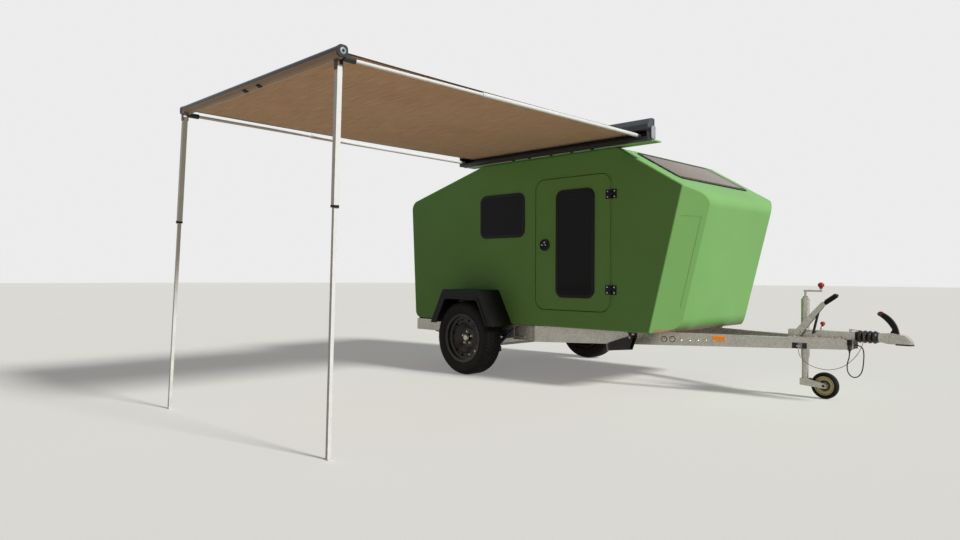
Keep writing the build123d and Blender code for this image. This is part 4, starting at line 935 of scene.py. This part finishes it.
def add_road_wheel(side):
    """Tyre with its tread, wheel bolts, hub cap and valve."""
    where = side_name(side)
    body = "wheel_" + where
    out = (0, side, 0)
    hub = face_frame(AXLE_X, side * HALF_TRACK, AXLE_Z, out)
    half = [(radius, offset) for offset, radius in TYRE_PROFILE]
    profile = half + [(radius, -offset) for radius, offset in reversed(half[1:-1])]
    carcass = turned("tyre_carcass_" + where, profile, hub, tyre_rubber, body, ring=True, segments=96)
    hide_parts("tyre_" + where)
    grow("tyre_tread_" + where, tread_pitch("tread_pitch_" + where), turned_copies, tyre_rubber, body,
         Copies=TREAD_PITCHES, Centre=at(AXLE_X, side * HALF_TRACK, AXLE_Z), Axle=LEFT)
    bolts = []
    for step in range(WHEEL_BOLTS):
        angle = pi / 2 + 2 * pi * step / WHEEL_BOLTS
        x = AXLE_X + WHEEL_BOLT_CIRCLE * cos(angle)
        z = AXLE_Z + WHEEL_BOLT_CIRCLE * sin(angle)
        bolts.append(((x, side * (HALF_TRACK + WHEEL_BOLT_FACE), z), out))
    fasteners("wheel_bolts_" + where, bolts, WHEEL_BOLT, zinc_plated_steel, body)
    cap = face_frame(AXLE_X, side * (HALF_TRACK + HUB_CAP_FACE), AXLE_Z, out)
    turned("hub_cap_" + where, HUB_CAP_PROFILE, cap, zinc_plated_steel)
    forward, outward, upward = VALVE_PLACE
    valve = face_frame(AXLE_X + forward, side * (HALF_TRACK + outward), AXLE_Z + upward, out)
    turned("tyre_valve_" + where, VALVE_PROFILE, valve, seal_rubber, body, segments=20)


# Cabin fittings
DOOR_FACE_Y = 796
HINGE_X = 1484
HINGE_Z = (793, 1550)
HINGE_SCREW_GRID = (32, 22)
LOCK_X = 814
LOCK_Y = 798
LOCK_Z = 1164
LOCK_KEY_LIFT = 22
LOCK_PADDLE = 10
LOCK_PIN_SPREAD = 19
BARREL_PROFILE = [(8, -0.5), (8, 3), (7, 4.4), (2.6, 4.4), (2.2, 3)]
LOCK_RIM_PROFILE = [(50, 3.2), (50, 5), (48.5, 6.2), (46, 6.2), (45, 3.2)]
TAIL_LIGHT_Y = 690
LAMP_FIELDS = (
    ("turn", 640, 684, orange_lens), ("brake", 592, 636, red_lens), ("reverse", 546, 588, clear_lens),
)
LENS_HALF_WIDTH = 34
LENS_LINE_HALF = 29
LENS_LINE_START = 8
LENS_LINE_END = 12
LENS_LINE_STEP = 4
ROOF_EDGE = (1532, 1915)
ROOF_SLOPE = (0.8561, -0.5167)
ROOF_PANE_MIDDLE = 285
ROOF_PANE_HALF = (565.5, 200.5)
ROOF_PANE_TOP = 6
ROOF_SEAL_RADIUS = 26
ROOF_SEAL_WIDTH = 7
REAR_WALL_LOW = (-887, 470)
REAR_WALL_HIGH = (-957, 1636)
HATCH_LOCK_LIFT = 70
HATCH_LOCK_PROUD = 24


def add_door_fittings(side):
    """Screws of the hinges, and the lock's barrel, rim and pins."""
    where = side_name(side)
    out = (0, side, 0)
    across, lift = HINGE_SCREW_GRID
    for leaf, shift, body in (("wall", across, "trailer"), ("door", -across, "door_" + where)):
        places = [(HINGE_X + shift, side * DOOR_FACE_Y, z + way * lift) for z in HINGE_Z for way in SIDES]
        rows = [(place, out) for place in places]
        fasteners(f"hinge_screws_{leaf}_{where}", rows, DOME_SCREW, raw_aluminium, body)
    face = face_frame(LOCK_X, side * LOCK_Y, LOCK_Z, out)
    key = face_frame(LOCK_X, side * LOCK_Y, LOCK_Z + LOCK_KEY_LIFT, out)
    body = "door_" + where
    turned("lock_barrel_" + where, BARREL_PROFILE, key, raw_aluminium, body, segments=28)
    turned("lock_rim_" + where, LOCK_RIM_PROFILE, face, black_enamel, body, ring=True, segments=56)
    pins = [((LOCK_X + way * LOCK_PIN_SPREAD, side * (LOCK_Y + LOCK_PADDLE), LOCK_Z), out) for way in SIDES]
    fasteners("lock_paddle_pins_" + where, pins, DOME_SCREW, raw_aluminium, body)


def add_tail_light(side):
    """Three lens fields on the lamp, each with fine cast lines."""
    where = side_name(side)
    lamp_low = drawing_box("tail_lights")[0]
    place = face_frame(lamp_low.x, side * TAIL_LIGHT_Y, 0, BACKWARD)
    for part, bottom, top, material in LAMP_FIELDS:
        field = rounded(LENS_HALF_WIDTH, (top - bottom) / 2, 7, middle=(0, (bottom + top) / 2))
        slab(f"tail_lens_{part}_{where}", field, -2, 2.4, place, material, edge=1)
        line = rounded(LENS_LINE_HALF, 1, 0.8, 2, (0, bottom + LENS_LINE_START))
        rib = slab_mesh(f"tail_rib_{part}_{where}", line, 2.2, 3.4, place)
        count = int((top - bottom - LENS_LINE_END) / LENS_LINE_STEP)
        grow(f"tail_lines_{part}_{where}", rib, stepped_copies, material,
             Copies=count, Step=(0, 0, LENS_LINE_STEP / 1000))


def add_roof_pane():
    """Skin of tinted acrylic over the roof window's pane, with a dark line where it meets its seal."""
    slope_x, slope_z = ROOF_SLOPE
    x = ROOF_EDGE[0] + slope_x * ROOF_PANE_MIDDLE
    z = ROOF_EDGE[1] + slope_z * ROOF_PANE_MIDDLE
    place = face_frame(x, 0, z, (-slope_z, 0, slope_x), (-slope_x, 0, -slope_z))
    half_width, half_length = ROOF_PANE_HALF
    seal = rounded(half_width, half_length, ROOF_SEAL_RADIUS, 8)
    slab("roof_pane_seal", seal, ROOF_PANE_TOP - 1, ROOF_PANE_TOP + 0.5, place, seal_rubber)
    skin = rounded(half_width - ROOF_SEAL_WIDTH, half_length - ROOF_SEAL_WIDTH, 22, 8)
    slab("roof_pane_skin", skin, ROOF_PANE_TOP, ROOF_PANE_TOP + 1.6, place, roof_acrylic, edge=0.5)


def add_hatch_handle():
    """Turning handle with its lock at the foot of the rear hatch, square to the leaning wall."""
    low_x, low_z = REAR_WALL_LOW
    lean = (REAR_WALL_HIGH[0] - low_x) / (REAR_WALL_HIGH[1] - low_z)
    z = drawing_box("rear_hatch")[0].z + HATCH_LOCK_LIFT
    x = low_x + (z - low_z) * lean
    out = Vector((-1, 0, -lean))
    place = face_frame(x, 0, z, out)
    boss = [(24, -1), (24, 3), (21, 6), (12, 7), (11, 15)]
    turned("hatch_lock_boss", boss, place, black_moulding, "rear_hatch")
    outline = rounded(48, 9, 8)
    slab("hatch_lock_bar", outline, 14, HATCH_LOCK_PROUD, place, black_moulding, "rear_hatch", edge=3)
    key = face_frame(*(Vector((x, 0, z)) + out.normalized() * HATCH_LOCK_PROUD), out)
    barrel = [(6, -0.5), (6, 1.6), (5, 2.4), (1.6, 2.4), (1.4, 1.4)]
    turned("hatch_lock_barrel", barrel, key, raw_aluminium, "rear_hatch", segments=24)


# Drawbar fittings
RAIL_REAR = (617, 693)
RAIL_FRONT = (3022, 57)
RAIL_SLOPE = (RAIL_REAR[1] - RAIL_FRONT[1]) / (RAIL_FRONT[0] - RAIL_REAR[0])
PLATE_BOLTS = ((1730, 401), (1793, 403))
PLATE_THICKNESS = 6
SEAT_THICKNESS = 1.5
RAIL_BOLTS = ((1853, 392), (1917, 395), (1979, 398), (2038, 401), (2098, 403))
REFLECTOR = (2136, 425)
REFLECTOR_LINES = 23
REFLECTOR_LINE_START = -44
BLANK_PLATE = (2686, 402)


def rail_out(side):
    return Vector((RAIL_SLOPE, side, 0)).normalized()


def on_rail(side, x, z, proud=0):
    """Point on the outer face of a drawbar rail, or proud of it."""
    y = side * (RAIL_FRONT[1] + (RAIL_FRONT[0] - x) * RAIL_SLOPE)
    return tuple(Vector((x, y, z)) + rail_out(side) * proud)


def add_rail_fittings(side):
    """Bolts and their seats, and the side reflector with its cast lines."""
    where = side_name(side)
    out = rail_out(side)
    seats = [(on_rail(side, x, z, PLATE_THICKNESS), out) for x, z in PLATE_BOLTS]
    fasteners("plate_bolt_seats_" + where, seats, BOLT_SEAT, seal_rubber)
    proud = PLATE_THICKNESS + SEAT_THICKNESS
    plate_bolts = [(on_rail(side, x, z, proud), out) for x, z in PLATE_BOLTS]
    fasteners("plate_bolts_" + where, plate_bolts, LARGE_BOLT, zinc_plated_steel)
    rail_bolts = [(on_rail(side, x, z), out) for x, z in RAIL_BOLTS]
    fasteners("rail_bolts_" + where, rail_bolts, CUP_BOLT, zinc_plated_steel)
    reflector = face_frame(*on_rail(side, *REFLECTOR), out)
    slab("rail_reflector_" + where, rounded(50, 20, 6), -1, 5, reflector, amber_lens_painted_glow, edge=1.5)
    line = rounded(1, 16, 0.8, 2, (REFLECTOR_LINE_START, 0))
    rib = slab_mesh("reflector_rib_" + where, line, 4.8, 6, reflector)
    step = reflector.to_3x3() @ Vector((LENS_LINE_STEP, 0, 0))
    grow("reflector_lines_" + where, rib, stepped_copies, amber_lens_painted_glow, Copies=REFLECTOR_LINES, Step=step)


def add_rail_plate():
    """Bare plate on the right rail."""
    place = face_frame(*on_rail(-1, *BLANK_PLATE), rail_out(-1))
    slab("rail_blank_plate", rounded(50, 21, 2), -0.5, 0.8, place, black_enamel)
    slab("rail_blank_plate_field", rounded(15, 19, 1, middle=(3, 0)), 0.6, 1.1, place, grey_moulding)


# Coupling
FOOT_BOLTS = ((2640, 130), (2780, 95), (2930, 55))
FOOT_TOP_Z = 466
HEAD_BOLTS = ((3232, 492), (3266, 495))
HEAD_HALF = 36
NOSE_PAD_X = (3282, 3346)
NOSE_PAD_Z = (440, 450)
NOSE_PAD_HALF = 37.5
NOSE_RADIUS = 38.5
NOSE_STEPS = 12
BELLOWS_X = (3026, 3174)
BELLOWS_FOLDS = 4
BELLOWS_SLEEVE = 10
BELLOWS_VALLEY = 33
FOLD_HEIGHT = 12
FOLD_FULLNESS = 0.7
FOLD_STEPS = 12
SHAFT_Z = 484
HANDLE_TIP = [(3206, 656), (3196, 661), (3182, 665), (3167, 661), (3162, 650), (3165, 641), (3178, 632)]
HANDLE_TIP_HALF = 14.5
LEVER_PIVOT = Vector((2634, 474))
LEVER_TOP = Vector((2827, 716))
LEVER_Y = -57
LEVER_BOLT_Y = -74
LEVER_PIN_SHARE = 0.1
GRIP_BEND_SHARE = 0.93
GRIP_START = 24
GRIP_TIP = (2914, 772)
GRIP_RADIUS = 13
GRIP_RIB_STEP = 7
GRIP_PLAIN = 18
RELEASE_BAR_SHARES = (0.54, 0.44)
KNOBS = (("crank_knob", (2762, 72, 844), 20), ("clamp_knob", (2775, 72, 558), 15))
KNOB_FLUTES = 14
KNOB_COLLAR = ((0.55, -1.35), (0.62, -1.05))
KNOB_START = -radians(62)
KNOB_TURN = radians(150)
KNOB_STEPS = 11


def on_lever(share):
    """Point of the side view at a share of the lever's length."""
    return LEVER_PIVOT.lerp(LEVER_TOP, share)


def add_coupling_fittings():
    """Bolts of the housing, the head and the lever, and the rubber pad over the head's nose."""
    rows = [((x, side * y, FOOT_TOP_Z), UP) for x, y in FOOT_BOLTS for side in SIDES]
    fasteners("overrun_foot_bolts", rows, HEX_BOLT, zinc_plated_steel)
    rows = [((x, side * HEAD_HALF, z), (0, side, 0)) for side in SIDES for x, z in HEAD_BOLTS]
    fasteners("head_bolts", rows, HEX_BOLT, zinc_plated_steel)
    pin_x, pin_z = on_lever(LEVER_PIN_SHARE)
    fasteners("lever_pivot_bolt", [((pin_x, LEVER_BOLT_Y, pin_z), RIGHT)], HEX_BOLT, zinc_plated_steel)
    rear, front = NOSE_PAD_X
    nose = [(rear, -NOSE_PAD_HALF), (front, -NOSE_PAD_HALF)]
    for step in range(NOSE_STEPS + 1):
        angle = -pi / 2 + pi * step / NOSE_STEPS
        nose.append((front + 2 + NOSE_RADIUS * cos(angle), NOSE_RADIUS * sin(angle)))
    nose += [(front, NOSE_PAD_HALF), (rear, NOSE_PAD_HALF)]
    slab("nose_pad", nose, *NOSE_PAD_Z, face_frame(0, 0, 0, UP, LEFT), seal_rubber, edge=2)


def add_bellows():
    """Rubber bellows with round full folds, between two plain sleeves."""
    length = BELLOWS_X[1] - BELLOWS_X[0]
    sleeve = BELLOWS_SLEEVE
    pitch = (length - 2 * sleeve) / BELLOWS_FOLDS
    outside = [(34, 0.5), (36, 1.5), (36, sleeve - 2)]
    for step in range(BELLOWS_FOLDS * FOLD_STEPS + 1):
        share = step / FOLD_STEPS
        swell = abs(sin(pi * share)) ** FOLD_FULLNESS
        outside.append((BELLOWS_VALLEY + FOLD_HEIGHT * swell, sleeve + pitch * share))
    outside += [(36, length - sleeve + 2), (36, length - 1.5), (34, length - 0.5)]
    inside = [(30, length - 0.5), (30, 0.5)]
    place = face_frame(BELLOWS_X[0], 0, SHAFT_Z, FORWARD)
    bellows = turned("overrun_bellows_folds", outside + inside, place, bellows_rubber, ring=True, segments=48)
    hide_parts("overrun_bellows")


def add_handle_tip():
    """Red tip of the coupling handle, drawn in the side view."""
    place = face_frame(0, 0, 0, RIGHT)
    slab("handle_tip", HANDLE_TIP, -HANDLE_TIP_HALF, HANDLE_TIP_HALF, place, rust_red_moulding, edge=4)


def add_lever_grip():
    """Ribbed sleeve over the lever's grip, with the red release button at its end and the bar under it."""
    start_x, start_z = on_lever(GRIP_BEND_SHARE)
    start = Vector((start_x, LEVER_Y, start_z))
    tip = Vector((GRIP_TIP[0], LEVER_Y, GRIP_TIP[1]))
    along = (tip - start).normalized()
    first = start + along * GRIP_START
    length = (tip - first).length
    place = face_frame(*first, along, LEFT)
    sleeve = [(1, 0), (3, 1.5), (3, 4), (1.2, 6), (1.8, length / 2), (1.2, length - 6), (2.6, length - 3),
              (2.6, length), (0, length + 1)]
    turned("lever_grip_sleeve", [(GRIP_RADIUS + proud, z) for proud, z in sleeve], place, black_moulding)
    rib = [(GRIP_RADIUS + proud, z) for proud, z in ((1, 9), (2.8, 10), (2.8, 12), (1, 13))]
    grow("lever_grip_ribs", turned_mesh("grip_rib", rib, place, ring=True, segments=28), stepped_copies,
         black_moulding, Copies=int((length - GRIP_PLAIN) / GRIP_RIB_STEP), Step=along * GRIP_RIB_STEP / 1000)
    end = face_frame(*(tip + along), along, LEFT)
    turned("lever_button", [(9, -1), (9, 6), (8, 9), (4, 10.5)], end, rust_red_moulding, segments=28)
    under = along.cross(Vector(LEFT))
    middle_share, half_share = RELEASE_BAR_SHARES
    middle = first + along * length * middle_share + under * (GRIP_RADIUS + 1)
    bar = face_frame(*middle, under, along)
    slab("lever_release_bar", rounded(6, length * half_share, 5), -2, 6, bar, rust_red_moulding, edge=2)


def add_knobs():
    """Ball knobs with a collar and shallow flutes, pushed over the cranks' ends."""
    outward = Matrix.Rotation(pi / 2, 4, "Y") @ Matrix.Rotation(pi / 2, 4, "Z") @ Matrix.Scale(0.001, 4)
    for name, place, radius in KNOBS:
        profile = [(radius * reach, radius * height) for reach, height in KNOB_COLLAR]
        for step in range(1, KNOB_STEPS + 1):
            angle = KNOB_START + KNOB_TURN * step / KNOB_STEPS
            profile.append(((radius + 1) * cos(angle), (radius + 1) * sin(angle)))
        turned(name + "_ball", profile, face_frame(*place, UP, FORWARD), red_moulding)
        rib = slab_mesh(name + "_rib", rounded(1.2, radius * 0.5, 1), radius * 0.85, radius + 1.9, outward)
        grow(name + "_flutes", rib, turned_copies, red_moulding,
             Copies=KNOB_FLUTES, Centre=at(*place), Axle=UP)


# Jockey wheel
JOCKEY_DISC_DEPTH = 17
JOCKEY_PIN_PROUD = 6
JOCKEY_WASHER = 1.8
JOCKEY_SHOULDER = (23, 87.5)
JOCKEY_SHOULDER_OUT = (0.81, 0.59)
JOCKEY_TREAD_RIBS = 40


def shoulder_frame(side):
    """Frame on a shoulder of the jockey tyre at its top, from the wheel's centre, in metres."""
    offset, radius = JOCKEY_SHOULDER
    outward, upward = JOCKEY_SHOULDER_OUT
    turn = face_frame(0, 0, 0, (0, side * outward, upward), FORWARD).to_3x3().to_4x4()
    return Matrix.Translation(Vector((0, side * offset, radius)) / 1000) @ turn


def add_jockey_wheel_trim():
    """Painted shade in the rim's groove as a thin dark ring on its disc, tread ribs on the tyre's shoulders,
    and the pin's washers and nuts.
    """
    rim_low, rim_high = drawing_box("jockey_rim")
    fork_low, fork_high = drawing_box("jockey_fork")
    middle = (rim_low + rim_high) / 2
    for side, rim_y, pin_y in ((-1, rim_low.y, fork_low.y), (1, rim_high.y, fork_high.y)):
        where = side_name(side)
        out = (0, side, 0)
        disc = face_frame(middle.x, rim_y - side * JOCKEY_DISC_DEPTH, middle.z, out)
        # Thin black ring on the rim's disc: painted shade where the groove lies in shadow
        painted_groove_shade = [(25, -0.5), (25, 0.6), (39, 0.6), (39, -0.5)]
        turned("jockey_groove_shade_" + where, painted_groove_shade, disc, black_enamel, "jockey_wheel", ring=True)
        cheek_y = pin_y - side * JOCKEY_PIN_PROUD
        cheek = face_frame(middle.x, cheek_y, middle.z, out)
        washer = [(13, -0.3), (13, 1.6), (12, 2)]
        turned("jockey_pin_washer_" + where, washer, cheek, zinc_plated_steel, "jockey_fork", segments=28)
        nut = [((middle.x, cheek_y + side * JOCKEY_WASHER, middle.z), out)]
        fasteners("jockey_pin_nut_" + where, nut, PIN_NUT, black_enamel, "jockey_fork")
        rib = slab_mesh("jockey_rib_" + where, rounded(5.5, 1.6, 1), -0.5, 2, shoulder_frame(side), edge=0.5)
        grow("jockey_tread_" + where, rib, turned_copies, tyre_rubber, "jockey_wheel",
             Copies=JOCKEY_TREAD_RIBS, Centre=at(*middle), Axle=LEFT)


# Corner steadies
STEADY_PIVOT_Z = 430
STEADY_LENGTH = 400
STEADY_DROOP = radians(13)
FRONT_STEADY = (1655, 740)
REAR_STEADY = (-765, 640)
STEADY_TIP_GAP = 38
STEADY_PIN_HALF = 28


def add_steady_plates():
    """Light wear plate on the foot of each steady, and the heads of its pivot pin."""
    rail_angle = asin(RAIL_SLOPE / (1 + RAIL_SLOPE ** 2) ** 0.5)
    pivot_gap = (FRONT_STEADY[1] - on_rail(1, FRONT_STEADY[0], 0)[1]) * cos(rail_angle)
    front_heading = pi + rail_angle - asin((pivot_gap - STEADY_TIP_GAP) / STEADY_LENGTH)
    for end, (x, y), heading in (("front", FRONT_STEADY, front_heading), ("rear", REAR_STEADY, 0)):
        for side in SIDES:
            name = f"steady_{end}_{side_name(side)}"
            turn = heading if side < 0 else -heading
            flat = Vector((cos(turn), sin(turn), 0))
            along = flat * cos(STEADY_DROOP) - Vector(UP) * sin(STEADY_DROOP)
            pivot = Vector((x, side * y, STEADY_PIVOT_Z))
            foot = face_frame(*(pivot + along * STEADY_LENGTH), along)
            plate = rounded(27, 30, 3, middle=(0, -25))
            slab(name + "_plate", plate, -9, 2.5, foot, raw_aluminium, name, edge=0.8)
            across = Vector((-flat.y, flat.x, 0))
            rows = [(tuple(pivot + across * STEADY_PIN_HALF * way), tuple(across * way)) for way in SIDES]
            fasteners(name + "_pin_heads", rows, HEX_BOLT, zinc_plated_steel)


# Studio
SKY_LIGHT = (1, 0.95, 0.87, 1)
SKY_LIGHT_STRENGTH = 0.09
BACKDROP = (0.93, 0.935, 0.93, 1)
BACKDROP_STRENGTH = 0.9
TO_SUN = Vector((0.84, 0.12, 0.52))
SUN_COLOUR = (1, 0.99, 0.95)
SUN_ENERGY = 3.5
SUN_SPREAD = radians(10)
FLOOR_RADIUS = 60
FLOOR_BOUNCE = (0.46, 0.4, 0.3, 1)
FLOOR_GLOW = 0.2


def seen_ray(tree):
    """1 for rays that look straight, by reflection or through glass."""
    path = tree.nodes.new("ShaderNodeLightPath")
    direct = calc(tree, "MAXIMUM", path.outputs["Is Camera Ray"], path.outputs["Is Glossy Ray"])
    return calc(tree, "MAXIMUM", direct, path.outputs["Is Transmission Ray"])


def add_studio():
    """Low sun from the front, faint warm sky light and a pale backdrop."""
    scene.view_settings.view_transform = "Standard"
    world = bpy.data.worlds.new("studio")
    scene.world = world
    world.use_nodes = True
    tree = world.node_tree
    soft = tree.nodes["Background"]
    fill_inputs(tree, soft, {"Color": SKY_LIGHT, "Strength": SKY_LIGHT_STRENGTH})
    seen = add_node(tree, "ShaderNodeBackground", {"Color": BACKDROP, "Strength": BACKDROP_STRENGTH})
    inputs = {0: seen_ray(tree), 1: soft.outputs[0], 2: seen.outputs[0]}
    choice = add_node(tree, "ShaderNodeMixShader", inputs)
    tree.links.new(choice.outputs[0], tree.nodes["World Output"].inputs["Surface"])
    sun = bpy.data.lights.new("key", "SUN")
    sun.energy = SUN_ENERGY
    sun.angle = SUN_SPREAD
    sun.color = SUN_COLOUR
    lamp = bpy.data.objects.new("key", sun)
    lamp.rotation_euler = (-TO_SUN).to_track_quat("-Z", "Y").to_euler()
    scene.collection.objects.link(lamp)


def add_floor():
    """Pale floor whose bounced light is a little warmer and dimmer than it looks."""
    mesh = bpy.data.meshes.new("floor")
    bm = bmesh.new()
    bmesh.ops.create_circle(bm, cap_ends=True, segments=96, radius=FLOOR_RADIUS)
    bm.to_mesh(mesh)
    bm.free()
    floor = bpy.data.objects.new("floor", mesh)
    scene.collection.objects.link(floor)
    material = coated(
        "studio_floor", (222, 222, 219), (216, 216, 213), 0.5, 0.9, 0.02, 0.4, 30.0, 0.0, bump=0.0,
        Specular_IOR_Level=0.1, Emission_Color=(1, 1, 1, 1),
    )
    tree = material.node_tree
    shader = tree.nodes["Principled BSDF"]
    plain = shader.inputs["Base Color"].links[0].from_socket
    looked_at = seen_ray(tree)
    fill_inputs(tree, shader, {
        "Base Color": mix_colour(tree, looked_at, FLOOR_BOUNCE, plain),
        "Emission Strength": calc(tree, "MULTIPLY", looked_at, FLOOR_GLOW),
    })
    mesh.materials.append(material)


add_camera()
add_studio()
add_floor()
finish_nodes()
add_cords()
add_cloth()
add_case_trim()
add_bar_fittings()
add_leg_clamps()
for side in SIDES:
    add_road_wheel(side)
    add_door_fittings(side)
    add_tail_light(side)
    add_rail_fittings(side)
add_roof_pane()
add_hatch_handle()
add_rail_plate()
add_coupling_fittings()
add_bellows()
add_handle_tip()
add_lever_grip()
add_knobs()
add_jockey_wheel_trim()
add_steady_plates()
